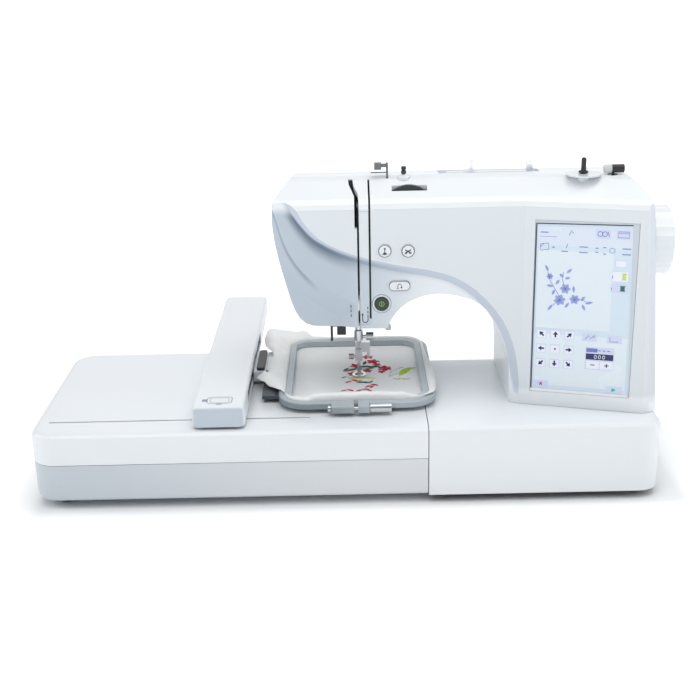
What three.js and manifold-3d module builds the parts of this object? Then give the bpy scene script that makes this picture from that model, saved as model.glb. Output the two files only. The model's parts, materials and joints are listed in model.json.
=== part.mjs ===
// Computerised embroidery and sewing machine with its embroidery unit and hoop fitted.
// Millimetres, Z up. X runs along the bed, Y runs from the front face to the back.
import * as THREE from 'three';
import { mergeVertices } from 'three/addons/utils/BufferGeometryUtils.js';
import Module from 'manifold-3d';

const wasm = await Module();
wasm.setup();

// ---------------------------------------------------------------- driving dimensions
const SHIFT = [-7, -200, 0]; // layout frame to the middle of the footprint
const GAP = 0.3; // between pieces that touch
const WALL = 3; // moulded covers
const FOOT_H = 8;
const BED_Z = 85; // work surface
const SPLIT_Z = 51.2; // joint between the unit's two covers
const UNIT = { x0: -338, x1: 79.6, y0: 0, y1: 250 };
const BASE = { x0: 80.4, x1: 325, y0: 0, y1: 208 };
const FREE_ARM = { x0: -86, x1: 80.1, y0: 100, y1: 184, z0: 22 };
const ARM = { x0: -166, x1: -111, y0: 7, y1: 400, z0: 88, z1: 110 };
const RAIL = { y: 52, z: 40, r: 4 };
const SLOT_Y = 36; // narrow travel slot in the unit's top
const HOOP = { x: 6.8, y: 151, outX: 86.4, outY: 106, midX: 79, midY: 98.6, inX: 71.3, inY: 91 };
const NEEDLE = { x: 10, y: 142 };
const SHAFT = { y: 142, z: 245, r: 5 };
const LOWER = { y: 142, z: 40, r: 4 };
const MOTOR = { y: 113, z: 150 };
const FACE_Y = 62; // front face of the head
const STEP = 4.5; // depth of the swept lower face behind the upper one
const SPLIT_Y = 103; // front and rear covers of head, arm and column meet here
const BACK_Y = 196;
const FACET = { x: 182, y: 62, angle: THREE.MathUtils.degToRad(-15.5) }; // turned screen panel
const SCREEN = { u0: 11, u1: 115.4, z0: 101, z1: 289.5, depth: 3 };
const BUTTON_R = 6.8;
const BUTTONS = {
  needle_position_button: [38.1, 259],
  thread_cutter_button: [62.2, 258.5],
  lock_stitch_button: [53.4, 219.8],
  start_stop_button: [34.5, 200.4],
};
const DIAL = { x: 64.2, y: 82, z: 297.5, r: 26, h: 5.4 };
const WINDER = { x: 243.5, y: 80, r: 18 };
const SPOOL = { y: 126, z: 326, x0: 97, x1: 203 };

// ---------------------------------------------------------------- materials
const COLOURS = {
  shell: ['#e9ecf0', 0.4, 0],
  trim: ['#dfe3e8', 0.4, 0],
  grey: ['#aeb4ba', 0.45, 0],
  dark: ['#2c2f33', 0.55, 0],
  rubber: ['#33363a', 0.9, 0],
  steel: ['#c3c7cb', 0.28, 0.95],
  cast: ['#8d9297', 0.6, 0.8],
  board: ['#1f5a3c', 0.6, 0],
  glass: ['#9fb4d6', 0.15, 0],
  clear: ['#d9e2ea', 0.1, 0],
  green: ['#1d5a34', 0.25, 0],
  cloth: ['#efeeea', 0.95, 0],
};

// ---------------------------------------------------------------- solids
function solid(geometry) {
  let g = geometry.clone();
  g.deleteAttribute('normal');
  g.deleteAttribute('uv');
  g = mergeVertices(g, 1e-5);
  const mesh = new wasm.Mesh({
    numProp: 3,
    vertProperties: new Float32Array(g.attributes.position.array),
    triVerts: new Uint32Array(g.index.array),
  });
  return new wasm.Manifold(mesh);
}

function box(x0, x1, y0, y1, z0, z1) {
  const g = new THREE.BoxGeometry(x1 - x0, y1 - y0, z1 - z0);
  g.translate((x0 + x1) / 2, (y0 + y1) / 2, (z0 + z1) / 2);
  return solid(g);
}

const TURN = {
  z: new THREE.Matrix4(),
  x: new THREE.Matrix4().set(0, 0, 1, 0, 1, 0, 0, 0, 0, 1, 0, 0, 0, 0, 0, 1),
  y: new THREE.Matrix4().set(0, 1, 0, 0, 0, 0, 1, 0, 1, 0, 0, 0, 0, 0, 0, 1),
};

// Outline points are [y, z] along x, [z, x] along y and [x, y] along z.
function prism(axis, points, low, high, bevel = 0, steps = 3) {
  const shape = new THREE.Shape(points.map(([a, b]) => new THREE.Vector2(a, b)));
  const g = new THREE.ExtrudeGeometry(shape, {
    depth: high - low - 2 * bevel,
    curveSegments: 1,
    bevelEnabled: bevel > 0,
    bevelThickness: bevel,
    bevelSize: bevel,
    bevelOffset: -bevel,
    bevelSegments: steps,
  });
  g.translate(0, 0, low + bevel);
  g.applyMatrix4(TURN[axis]);
  return solid(g);
}

// Front-view outline given as [x, z], cut along Y.
function frontPrism(points, y0, y1) {
  return prism('y', points.map(([x, z]) => [z, x]), y0, y1);
}

function circle(r, segments, a = 0, b = 0) {
  const points = [];
  for (let i = 0; i < segments; i += 1) {
    const t = (2 * Math.PI * (i + 0.5)) / segments;
    points.push([a + r * Math.cos(t), b + r * Math.sin(t)]);
  }
  return points;
}

function rod(axis, r, a, b, low, high, segments = 20) {
  return prism(axis, circle(r, segments, a, b), low, high);
}

// Profile of [radius, height] pairs turned about a vertical axis.
function turned(profile, x, y, segments = 24) {
  const g = new THREE.LatheGeometry(profile.map(([r, z]) => new THREE.Vector2(r, z)), segments);
  g.rotateX(Math.PI / 2);
  g.translate(x, y, 0);
  const s = solid(g);
  return s.volume() < 0 ? solid(flipped(g)) : s;
}

function flipped(geometry) {
  const g = geometry.clone();
  const index = g.index.array;
  for (let i = 0; i < index.length; i += 3) {
    [index[i], index[i + 1]] = [index[i + 1], index[i]];
  }
  return g;
}

// Rounded rectangle; radii run front-left, front-right, back-right, back-left.
function roundRect(x0, x1, y0, y1, radii, steps = 5) {
  const centres = [
    [x0 + radii[0], y0 + radii[0], radii[0], Math.PI],
    [x1 - radii[1], y0 + radii[1], radii[1], 1.5 * Math.PI],
    [x1 - radii[2], y1 - radii[2], radii[2], 0],
    [x0 + radii[3], y1 - radii[3], radii[3], 0.5 * Math.PI],
  ];
  const points = [];
  for (const [cx, cy, r, start] of centres) {
    for (let i = 0; i <= steps; i += 1) {
      const t = start + (i / steps) * (Math.PI / 2);
      points.push([cx + r * Math.cos(t), cy + r * Math.sin(t)]);
    }
  }
  return points;
}

function inset(box4, d) {
  return { x0: box4.x0 + d, x1: box4.x1 - d, y0: box4.y0 + d, y1: box4.y1 - d };
}

function ringOutline(halfX, halfY, r, steps = 5) {
  return roundRect(HOOP.x - halfX, HOOP.x + halfX, HOOP.y - halfY, HOOP.y + halfY, [r, r, r, r], steps);
}

// Outline of a belt run round two pulleys, as [y, z] points.
function beltOutline(a, ra, b, rb, steps = 10) {
  const dy = b.y - a.y;
  const dz = b.z - a.z;
  const along = Math.atan2(dz, dy);
  const lean = Math.acos((ra - rb) / Math.hypot(dy, dz));
  const points = [];
  for (let i = 0; i <= steps; i += 1) {
    const t = along + lean + (i / steps) * (2 * Math.PI - 2 * lean);
    points.push([a.y + ra * Math.cos(t), a.z + ra * Math.sin(t)]);
  }
  for (let i = 0; i <= steps; i += 1) {
    const t = along - lean + (i / steps) * 2 * lean;
    points.push([b.y + rb * Math.cos(t), b.z + rb * Math.sin(t)]);
  }
  return points;
}

function belt(a, ra, b, rb, thick, x0, x1) {
  const outer = prism('x', beltOutline(a, ra + thick, b, rb + thick), x0, x1);
  return outer.subtract(prism('x', beltOutline(a, ra, b, rb), x0 - 1, x1 + 1));
}

const group = new THREE.Group();
group.name = 'embroidery_machine';

function add(name, body, kind) {
  const [colour, roughness, metalness] = COLOURS[kind];
  const mesh = body.getMesh();
  let g = new THREE.BufferGeometry();
  g.setAttribute('position', new THREE.BufferAttribute(new Float32Array(mesh.vertProperties), 3));
  g.setIndex(new THREE.BufferAttribute(new Uint32Array(mesh.triVerts), 1));
  g = g.toNonIndexed();
  g.translate(...SHIFT);
  g.computeVertexNormals();
  const material = new THREE.MeshStandardMaterial({ color: colour, roughness, metalness });
  const node = new THREE.Mesh(g, material);
  node.name = name;
  group.add(node);
}

// ---------------------------------------------------------------- base and bed
function addBase() {
  const outline = roundRect(BASE.x0 - 40, BASE.x1, BASE.y0, BASE.y1, [9, 22, 22, 9]);
  const inner = inset(BASE, WALL);
  const hollow = prism('z', roundRect(inner.x0, inner.x1, inner.y0, inner.y1, [1, 19, 19, 1]), -50, BED_Z - WALL);
  let cover = prism('z', outline, -20, BED_Z, 7).intersect(box(BASE.x0, 400, -10, 300, FOOT_H + 0.2, 100));
  cover = cover.subtract(hollow);
  cover = cover.subtract(box(184, 312, 70, 188, 75, 90));
  cover = cover.subtract(box(70, 90, 112, 182, 24, 60));
  cover = cover.subtract(box(315, 330, 148.5, 177.5, 31.5, 50.5));
  cover = cover.subtract(box(315, 330, 113.5, 134.5, 33.5, 48.5));
  add('base_cover', cover, 'shell');
  const pan = roundRect(inner.x0 + GAP, inner.x1 - GAP, inner.y0 + GAP, inner.y1 - GAP, [1, 19, 19, 1]);
  add('base_pan', prism('z', pan, FOOT_H + 0.2, 11), 'dark');
  const spots = { front_left: [102, 24], front_right: [302, 24], back_left: [102, 184], back_right: [302, 184] };
  for (const [name, [x, y]] of Object.entries(spots)) {
    add(`base_foot_${name}`, foot(x, y), 'rubber');
  }
  const inlet = box(312, 325, 149, 177, 32, 50).subtract(box(318, 330, 152, 174, 35, 47));
  add('power_inlet', inlet.add(box(319, 324, 157, 169, 40.5, 41.5).add(box(317, 324, 157, 169, 39, 41))), 'dark');
  const rocker = prism('y', [[35, 320], [47, 320], [47, 325.2], [41, 324], [35, 327]], 114, 134);
  add('power_switch', rocker.add(rod('y', 3, 41, 321, 114, 134, 12)), 'dark');
}

function foot(x, y) {
  return turned([[0, 0], [9.5, 0], [11, 1.5], [11, FOOT_H - 0.1], [0, FOOT_H - 0.1]], x, y, 16);
}

// ---------------------------------------------------------------- free arm and stitching parts
function addFreeArm() {
  const { x0, x1, y0, y1, z0 } = FREE_ARM;
  let arm = prism('z', roundRect(x0, 200, y0, y1, [14, 5, 5, 14], 4), z0, BED_Z, 3, 2);
  arm = arm.intersect(box(-200, x1, 0, 300, 0, 100));
  arm = arm.subtract(prism('z', roundRect(x0 + 3, 210, y0 + 3, y1 - 3, [11, 1, 1, 11], 4), z0 + 3, BED_Z - 3));
  arm = arm.subtract(box(-24, 49, 106, 178, 80, 90));
  add('free_arm_cover', arm, 'shell');

  let plate = box(-23.7, 48.7, 106.3, 177.7, 82.3, BED_Z);
  plate = plate.subtract(box(-7.3, 27.3, 108, 135.3, 80, 90));
  plate = plate.subtract(rod('z', 2.2, NEEDLE.x, NEEDLE.y, 80, 90, 12));
  for (const x of [NEEDLE.x - 7, NEEDLE.x + 7]) {
    plate = plate.subtract(box(x - 1.5, x + 1.5, 134.5, 158, 80, 90));
  }
  add('needle_plate', plate, 'steel');
  add('bobbin_cover', box(-7, 27, 108.3, 135, 83.2, BED_Z), 'clear');

  let dog = box(-1, 21, 146, 157, 76, 78.5);
  for (const x of [NEEDLE.x - 7, NEEDLE.x + 7]) {
    dog = dog.add(box(x - 1, x + 1, 146, 157, 78, 81.5));
    for (let y = 146; y < 155; y += 2.2) {
      dog = dog.add(prism('x', [[y, 81.4], [y + 2, 81.4], [y, 82.6]], x - 1, x + 1));
    }
  }
  add('feed_dog', dog, 'steel');

  const hook = turned([[0, 33], [6.2, 33], [6.2, 46], [4, 47], [4, 56], [17, 58], [17, 74], [15, 74], [15, 60],
    [0, 60]], 10, 124.7, 24);
  add('rotary_hook', hook, 'steel');
  const bobbin = turned([[3, 61], [10.5, 61], [10.5, 62], [4.5, 62], [4.5, 71], [10.5, 71], [10.5, 72], [3, 72], [3, 61]],
    10, 124.7, 20);
  add('bobbin', bobbin, 'clear');
}

// ---------------------------------------------------------------- head, arm and column covers
const FRONT_OUTLINE = [
  [-12, 173.4], [40.5, 172.8], [42.5, 178.5], [46, 185], [49.8, 190], [55.5, 196.2], [62, 201], [68.5, 204.3],
  [75, 206.8], [81.5, 208.6], [88, 209.6], [95, 210], [104, 209.4], [112.8, 207.8], [119.1, 206], [125.5, 204],
  [131.8, 201.3], [138.2, 197.2], [144.7, 191.3], [151, 182], [157, 170.5], [162.5, 158.6], [167, 147],
  [169.5, 136], [171, 122], [171.5, 85.4], [324, 85.4], [323.6, 92], [315, 210], [309, 290], [307.5, 304],
  [303, 316], [295, 325], [284, 330.5], [270, 335], [-52, 335], [-57, 332.6], [-74.8, 315.4], [-76.6, 311],
  [-77.5, 301], [-78, 290], [-77.4, 280], [-75.8, 266], [-73, 250], [-70.2, 237], [-66.8, 224], [-63.5, 211],
  [-60.5, 200.5], [-57, 191], [-52.5, 183], [-46.5, 177.4], [-39, 174.6], [-30, 174],
];
// Side profile [y, z]: upright face, slanted shoulder, crowned top, upright back.
const SIDE = [
  [0, 60], [0, 303], [1.6, 308], [6, 312.5], [20, 320], [33, 327], [41, 329.3], [49, 330], [62, 329],
  [80, 326.5], [100, 322.5], [118, 317], [128, 311], [133, 302], [BACK_Y - FACE_Y, 290], [BACK_Y - FACE_Y, 60],
];
// Sweep line on the front face, as [x, z]; the face below it is set back.
const SWEEP = [
  [-61, 303], [-54, 289], [-46, 278], [-36, 267.5], [-25, 260], [-12, 253.5], [1, 248.5], [24, 241.5], [44, 236.5],
  [62, 233], [80, 230], [96, 226], [108, 221.5], [118, 215.8], [129, 207.8], [138, 199], [147, 188.5], [155, 177],
  [161, 165.5], [165.5, 153.5], [169, 141], [171.5, 126], [173, 110], [174, 60],
];

function facetFrame(body) {
  const turn = new THREE.Matrix4().makeRotationZ(FACET.angle);
  turn.setPosition(FACET.x, FACET.y, 0);
  return body.transform(turn.elements);
}

// Everything inside the outer skin moved in by d.
// Bevel on the upper left corner of the head, wider towards the back.
const CORNER_BEVEL = { normal: [0.776, -0.1, -0.6227], offset: -260.9 };

function headVolume(d) {
  const outline = d > 0 ? shrunk(FRONT_OUTLINE, d) : FRONT_OUTLINE;
  const side = d > 0 ? shrunk(SIDE, d) : SIDE;
  const arm = prism('x', side.map(([y, z]) => [y + FACE_Y, z]), -120, 400);
  const column = facetFrame(prism('x', side, -3, 190)).intersect(box(176 + d, 400, -10, BACK_Y - d, 0, 400));
  const plan = roundRect(-90 + d, 326.5 - d, -60, BACK_Y - d, [1, 1, 18, 14], 4);
  const body = arm.add(column).intersect(frontPrism(outline, -20, 260)).intersect(prism('z', plan, 0, 400));
  const corner = shrunk([[130, -30], [190, -30], [190, 30], [147, 30], [145.6, 22], [142.5, 12], [137, 4], [130, 0]], -d);
  return body.subtract(facetFrame(prism('z', corner, 0, 400)).transform(leanMatrix())).subtract(cheekCutter(d))
    .trimByPlane(CORNER_BEVEL.normal, CORNER_BEVEL.offset + d);
}

// The column's right side leans in towards the top.
function leanMatrix() {
  const m = new THREE.Matrix4();
  m.set(1, 0, -0.062, 0.062 * BED_Z, 0, 1, 0, 0, 0, 0, 1, 0, 0, 0, 0, 1);
  return m.elements;
}

// Moves every side of an outline inwards by d.
function shrunk(points, d) {
  const area = points.reduce((s, [x, y], i) => {
    const [u, v] = points[(i + 1) % points.length];
    return s + x * v - u * y;
  }, 0);
  const side = area > 0 ? 1 : -1;
  return points.map(([x, y], i) => {
    const [px, py] = points[(i + points.length - 1) % points.length];
    const [qx, qy] = points[(i + 1) % points.length];
    const a = unitNormal(px, py, x, y, side);
    const b = unitNormal(x, y, qx, qy, side);
    const k = d / (1 + a[0] * b[0] + a[1] * b[1]);
    return [x + k * (a[0] + b[0]), y + k * (a[1] + b[1])];
  });
}

function unitNormal(x0, y0, x1, y1, side) {
  const l = Math.hypot(x1 - x0, y1 - y0);
  return [(-side * (y1 - y0)) / l, (side * (x1 - x0)) / l];
}

// Cuts away the front of an [x, z] area, with a slope of the given width and depth at its edge.
function slopedCutter(points, faceY, width, depth) {
  const shape = new THREE.Shape(points.map(([x, z]) => new THREE.Vector2(z, x)));
  const g = new THREE.ExtrudeGeometry(shape, {
    depth: 30,
    curveSegments: 1,
    bevelEnabled: true,
    bevelThickness: depth,
    bevelSize: width,
    bevelSegments: 1,
  });
  g.translate(0, 0, faceY - 30);
  g.applyMatrix4(TURN.y);
  return solid(g);
}

function sweepCutter() {
  return slopedCutter([...SWEEP, [60, 60], [-140, 60], [-140, 320], [-68, 320]], FACE_Y, 8, STEP);
}

// Raked cheek on the lower left of the head.
function cheekCutter(d) {
  const edge = [[-8, 184], [-27, 194], [-42, 205], [-61, 225], [-77, 250], [-90, 278], [-98, 306]];
  return slopedCutter([...edge, [-150, 300], [-150, 150], [-8, 150]], FACE_Y + STEP + d, 22 + d / 2, 9);
}

function pill(cx, cz, halfW, halfH, y0, y1, segments = 24) {
  const points = [];
  for (let i = 0; i < segments; i += 1) {
    const t = (2 * Math.PI * (i + 0.5)) / segments;
    const c = Math.cos(t);
    points.push([cx + (halfW - halfH) * Math.sign(c) + halfH * c, cz + halfH * Math.sin(t)]);
  }
  return frontPrism(points, y0, y1);
}

function addHead() {
  const outer = headVolume(0);
  const inner = headVolume(WALL + 1.2).subtract(box(-200, 178, 0, FACE_Y + STEP + WALL, 0, 400));
  const recess = box(SPOOL.x0, SPOOL.x1, 107, 152, 311, 340);
  const recessWall = box(SPOOL.x0 - 2.5, SPOOL.x1 + 2.5, 104, 154.5, 308.5, 340);
  const hollow = inner.subtract(recessWall);
  const face = outer.subtract(sweepCutter());
  let skin = face.subtract(hollow).subtract(recess);
  skin = skin.subtract(box(-24, 40, 116, 186, 170, 186)); // needle and presser opening
  skin = skin.subtract(box(184, 312, 76, 186, 80, 94)); // column foot, over the opening in the bed
  skin = skin.subtract(rod('x', 9, SHAFT.y, SHAFT.z, 290, 340, 20));

  let front = skin.intersect(box(-200, 400, -50, SPLIT_Y, 0, 400));
  front = front.subtract(threadSlots()).subtract(box(11.6, 21.8, 50, FACE_Y + STEP + 1.5, 177.7, 300.9));
  for (const [name, [x, z]] of Object.entries(BUTTONS)) {
    const wide = name.startsWith('lock') ? 11 : BUTTON_R + (name.startsWith('start') ? 0.6 : 0);
    const high = name.startsWith('lock') ? 5.6 : wide;
    front = front.subtract(pill(x, z, wide + GAP, high + GAP, 50, 76));
  }
  front = front.subtract(box(46.5, 83, DIAL.y - 3.8, DIAL.y + 3.8, 270, 340));
  front = front.subtract(rod('y', DIAL.r + 0.7, DIAL.z, DIAL.x, DIAL.y - 3.8, DIAL.y + 3.8, 36));
  front = front.subtract(screenBlock(-1, 10, 0));
  front = front.add(screenSeat().subtract(screenBlock(-20, 20, 6)));
  front = front.subtract(topSockets());
  add('front_cover', front, 'shell');

  let rear = skin.intersect(box(-200, 400, SPLIT_Y + GAP, 300, 0, 400));
  rear = rear.subtract(box(4, 16, 186, 210, 184, 234)); // presser lever opening
  add('rear_cover', rear.subtract(topSockets()), 'shell');

  const strip = face.intersect(box(11.8, 21.6, 50, FACE_Y + STEP + 1.2, 178, 300.6));
  add('thread_channel_cover', strip, 'trim');
  const glass = screenBlock(1.2, SCREEN.depth, 0.3);
  add('touch_screen', glass, 'glass');
  add('main_board', facetFrame(box(20, 108, 20, 22, 110, 280)), 'board');
}

// Display opening in the turned panel; depth is measured behind its face.
function screenBlock(y0, y1, margin) {
  const { u0, u1, z0, z1 } = SCREEN;
  return facetFrame(box(u0 + margin, u1 - margin, y0, y1, z0 + margin, z1 - margin));
}

function screenSeat() {
  return screenBlock(SCREEN.depth + GAP, SCREEN.depth + GAP + 2.5, -0.4);
}

// Two threading channels that run down from the shoulder to the head's lower edge. The left one
// is wider at the top, for the take-up lever, and bends to the left over the shoulder.
function threadSlots() {
  const bent = prism('z', [[7.3, 50], [11.7, 50], [11.7, 70], [10.8, 77], [8.6, 82], [7.2, 87], [6, 97], [1.4, 97],
    [2.3, 88], [4.6, 81], [7.3, 72]], 283, 340);
  const left = bent.add(box(9.7, 11.7, 50, 75, 170, 284));
  const right = box(21.7, 23.7, 50, 96, 184, 340);
  return left.add(right);
}

// Sockets for the parts that stand on the top.
function topSockets() {
  let cut = rod('z', 1.5, 42.4, 98.2, 310, 340, 10);
  cut = cut.add(rod('z', 6.8, 59.7, 98, 318, 340, 16));
  cut = cut.add(rod('z', 6.5 + GAP, WINDER.x, WINDER.y, 318, 340, 20));
  cut = cut.add(rod('z', 5.5, 274.5, 84, 314, 340, 16));
  return cut;
}

function addTop() {
  const guide = rod('z', 1.2, 42.4, 98.2, 318, 344, 10)
    .add(box(36, 42.6, 97.4, 99, 339, 343))
    .add(box(29, 36.3, 94.5, 101.5, 337, 344))
    .add(box(25.5, 42.4, 97.6, 98.8, 333.2, 334.4));
  add('top_thread_guide', guide, 'steel');
  const knob = turned([[0, 319], [6.5, 319], [6.5, 329.6], [2, 330.2], [2, 332], [2.7, 332.4], [2.7, 335.2],
    [2.1, 335.6], [2.1, 336.2], [2.7, 336.6], [2.7, 339.6], [0, 340]], 59.7, 98, 16);
  add('bobbin_winding_guide', knob, 'dark');
  const seat = turned([[2.6, 321], [6.5, 321], [6.5, 330.3], [WINDER.r, 330.3], [WINDER.r, 332], [2.6, 332],
    [2.6, 321]], WINDER.x, WINDER.y, 28);
  add('winder_seat', seat, 'grey');
  const spindle = turned([[0, 318], [2.3, 318], [2.3, 332.6], [5, 332.6], [5, 334.6], [2.6, 335], [2.6, 347],
    [1.6, 348.4], [0, 348.4]], WINDER.x, WINDER.y, 14);
  add('winder_spindle', spindle, 'dark');
  const stopper = turned([[0, 316], [5.2, 316], [5.2, 328.5], [2, 329], [2, 336], [0, 336]], 274.5, 84, 16)
    .add(rod('x', 4.3, 84, 335.6, 265.4, 286, 16));
  add('winder_stopper', stopper, 'dark');

  const post = box(191.5, 198, SPOOL.y - 6, SPOOL.y + 6, 311.3, 333)
    .add(rod('x', 7, SPOOL.y, 331, 191.5, 198, 16));
  add('spool_pin', post.add(rod('x', 2.5, SPOOL.y, SPOOL.z, 106, 192, 12)), 'trim');
  const cap = rod('x', 14, SPOOL.y, SPOOL.z, 132.5, 134.9, 24)
    .add(rod('x', 5, SPOOL.y, SPOOL.z, 126.5, 133, 16))
    .subtract(rod('x', 2.58, SPOOL.y, SPOOL.z, 100, 140, 12));
  add('spool_cap', cap, 'trim');

  const wheel = rod('y', DIAL.r, DIAL.z, DIAL.x, DIAL.y - DIAL.h / 2, DIAL.y + DIAL.h / 2, 36)
    .add(rod('y', 4, DIAL.z, DIAL.x, DIAL.y, DIAL.y + 9, 12));
  add('tension_dial', wheel, 'dark');
}

function addButtons() {
  for (const [name, [x, z]] of Object.entries(BUTTONS)) {
    const oval = name.startsWith('lock');
    const below = z < 240;
    const y0 = FACE_Y + (below ? STEP : 0) - 1.8;
    const wide = oval ? 11 : BUTTON_R + (name.startsWith('start') ? 0.6 : 0);
    const cap = pill(x, z, wide, oval ? 5.6 : wide, y0, y0 + 9);
    add(name, cap, name.startsWith('start') ? 'green' : 'trim');
  }
}

// ---------------------------------------------------------------- drive train
function addFrame() {
  const plate = frontPrism([
    [-6, 188], [26, 188], [26, 262], [190, 262], [190, 52], [-60, 52], [-60, 30], [232, 30], [232, 14],
    [300, 14], [300, 22], [250, 60], [232, 90], [232, 262], [296, 262], [296, 300], [-45, 300], [-45, 262], [-6, 262],
  ], 172, 180);
  const bore = (axis, r, a, b, low, high) => rod(axis, r, a, b, low, high, 20);
  let frame = plate;
  frame = frame.add(box(60, 70, 128, 173, 233, 270)).add(box(196, 206, 128, 173, 233, 270));
  frame = frame.add(box(0, 20, 132, 173, 290, 297)).add(box(0, 20, 132, 173, 190, 196));
  frame = frame.add(box(40, 48, 132, 173, 32, 50)).add(box(196, 206, 132, 173, 32, 50));
  frame = frame.subtract(bore('x', SHAFT.r + 0.1, SHAFT.y, SHAFT.z, 40, 220));
  frame = frame.subtract(bore('x', LOWER.r + 0.1, LOWER.y, LOWER.z, 30, 220));
  frame = frame.subtract(bore('z', 3.6, NEEDLE.x, NEEDLE.y, 180, 310));
  frame = frame.subtract(bore('z', 3.1, NEEDLE.x, NEEDLE.y + 18, 180, 310));
  add('main_frame', frame, 'cast');
}

function addDrive() {
  const crank = rod('x', 18, SHAFT.y, SHAFT.z, 22, 28, 28).add(rod('x', 3, SHAFT.y, SHAFT.z + 13, 16, 22, 12));
  const pulleys = rod('x', 26, SHAFT.y, SHAFT.z, 236, 244, 32).add(rod('x', 12, SHAFT.y, SHAFT.z, 244, 262, 24));
  add('main_shaft', rod('x', SHAFT.r, SHAFT.y, SHAFT.z, 28, 350, 20).add(crank).add(pulleys), 'steel');

  const grips = [];
  for (let i = 0; i < 48; i += 1) {
    const t = (2 * Math.PI * (i + 0.5)) / 48;
    const r = i % 2 ? 38 : 36.8;
    grips.push([SHAFT.y + r * Math.cos(t), SHAFT.z + r * Math.sin(t)]);
  }
  let wheel = prism('x', grips, 330, 352, 2.5, 2);
  wheel = wheel.subtract(rod('x', 27, SHAFT.y, SHAFT.z, 346, 360, 28));
  wheel = wheel.subtract(rod('x', SHAFT.r + 0.1, SHAFT.y, SHAFT.z, 320, 360, 20));
  add('handwheel', wheel, 'shell');

  const lower = rod('x', LOWER.r, LOWER.y, LOWER.z, -4, 262, 20)
    .add(rod('x', 10.6, LOWER.y, LOWER.z, 4, 16, 20))
    .add(rod('x', 12, LOWER.y, LOWER.z, 248, 262, 24));
  add('lower_shaft', lower, 'steel');
  add('timing_belt', belt(SHAFT, 12.4, LOWER, 12.4, 1.6, 249, 261), 'rubber');

  const motor = rod('x', 24, MOTOR.y, MOTOR.z, 184, 230, 24).subtract(rod('x', 3, MOTOR.y, MOTOR.z, 220, 240, 16));
  add('drive_motor', motor, 'dark');
  const small = rod('x', 2.9, MOTOR.y, MOTOR.z, 222, 236, 16).add(rod('x', 7, MOTOR.y, MOTOR.z, 235, 245, 16));
  add('motor_pulley', small, 'steel');
  add('drive_belt', belt(SHAFT, 26.7, MOTOR, 7.4, 1.6, 237, 243), 'rubber');
}

function addNeedleParts() {
  const { x, y } = NEEDLE;
  add('needle_bar', rod('z', 3.5, x, y, 146.5, 304, 20), 'steel');
  const clamp = rod('z', 5, x, y, 134, 146.2, 16)
    .add(rod('x', 1.6, y, 138.6, x, x + 15, 10))
    .add(rod('x', 4.7, y, 138.6, x + 8.5, x + 17, 14))
    .subtract(rod('z', 1.1, x, y, 130, 145, 10));
  add('needle_clamp', clamp, 'steel');
  const needle = turned([[0, 103], [0.4, 106], [0.45, 128], [1, 130], [1, 144], [0, 144]], x, y, 10);
  add('needle', needle, 'steel');

  add('presser_bar', rod('z', 3, x, y + 18, 128, 282, 16).add(box(x - 4, x + 4, y + 14, y + 22, 236, 246)), 'steel');
  const ring = rod('z', 8, x, y, 91.2, 92.8, 24).subtract(rod('z', 5.2, x, y, 80, 100, 24));
  const foot = ring
    .add(box(x - 2, x + 2, y + 6.6, y + 9, 91.6, 118))
    .add(box(x - 4, x + 13, y + 9, y + 24, 116, 127.6).add(box(x - 3, x + 3, y + 7, y + 10, 106, 120)))
    .add(box(x - 4, x + 4, y + 9.4, y + 20, 105, 117).add(box(x + 9.4, x + 12.6, y + 9.4, y + 13, 108, 118)))
    .add(rod('x', 1.8, y + 14, 109.5, x - 7, x - 3, 10))
    .add(rod('x', 3.6, y + 14, 109.5, x - 11.5, x - 5.8, 12));
  add('embroidery_foot', foot, 'steel');

  const lever = prism('x', [[167, 222], [174, 228], [186, 226], [205, 206], [214, 192], [211, 188], [200, 200],
    [184, 216], [172, 214]].map(([a, b]) => [a + 17, b]), 7, 13);
  add('presser_lever', lever, 'trim');

  const take = prism('x', [[112, 262], [118, 262], [117, 272], [104, 290], [84, 303], [72, 309], [68, 307], [70, 303],
    [82, 298], [100, 284], [111, 270]], 9.9, 11.5).add(rod('x', 6, 115, 262, 9.9, 11.5, 14));
  add('take_up_lever', take, 'steel');

  const threader = rod('z', 1.8, -10, 130, 152, 240, 12)
    .add(box(-14, -4, 126, 134, 146, 160))
    .add(box(-21.4, -12, 128.6, 131.4, 155, 159))
    .add(rod('z', 1.4, -20, 130, 138, 157, 10));
  add('needle_threader', threader, 'dark');
}

// ---------------------------------------------------------------- embroidery unit
function unitSlab(z0, z1, d) {
  const b = inset(UNIT, d);
  const outline = roundRect(b.x0, b.x1 + 40, b.y0, b.y1, [26 - d, 12, 12, 26 - d], 6);
  return prism('z', outline, z0, z1, d ? 0 : 7).intersect(box(-400, b.x1, -50, 300, -60, 200));
}

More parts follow.
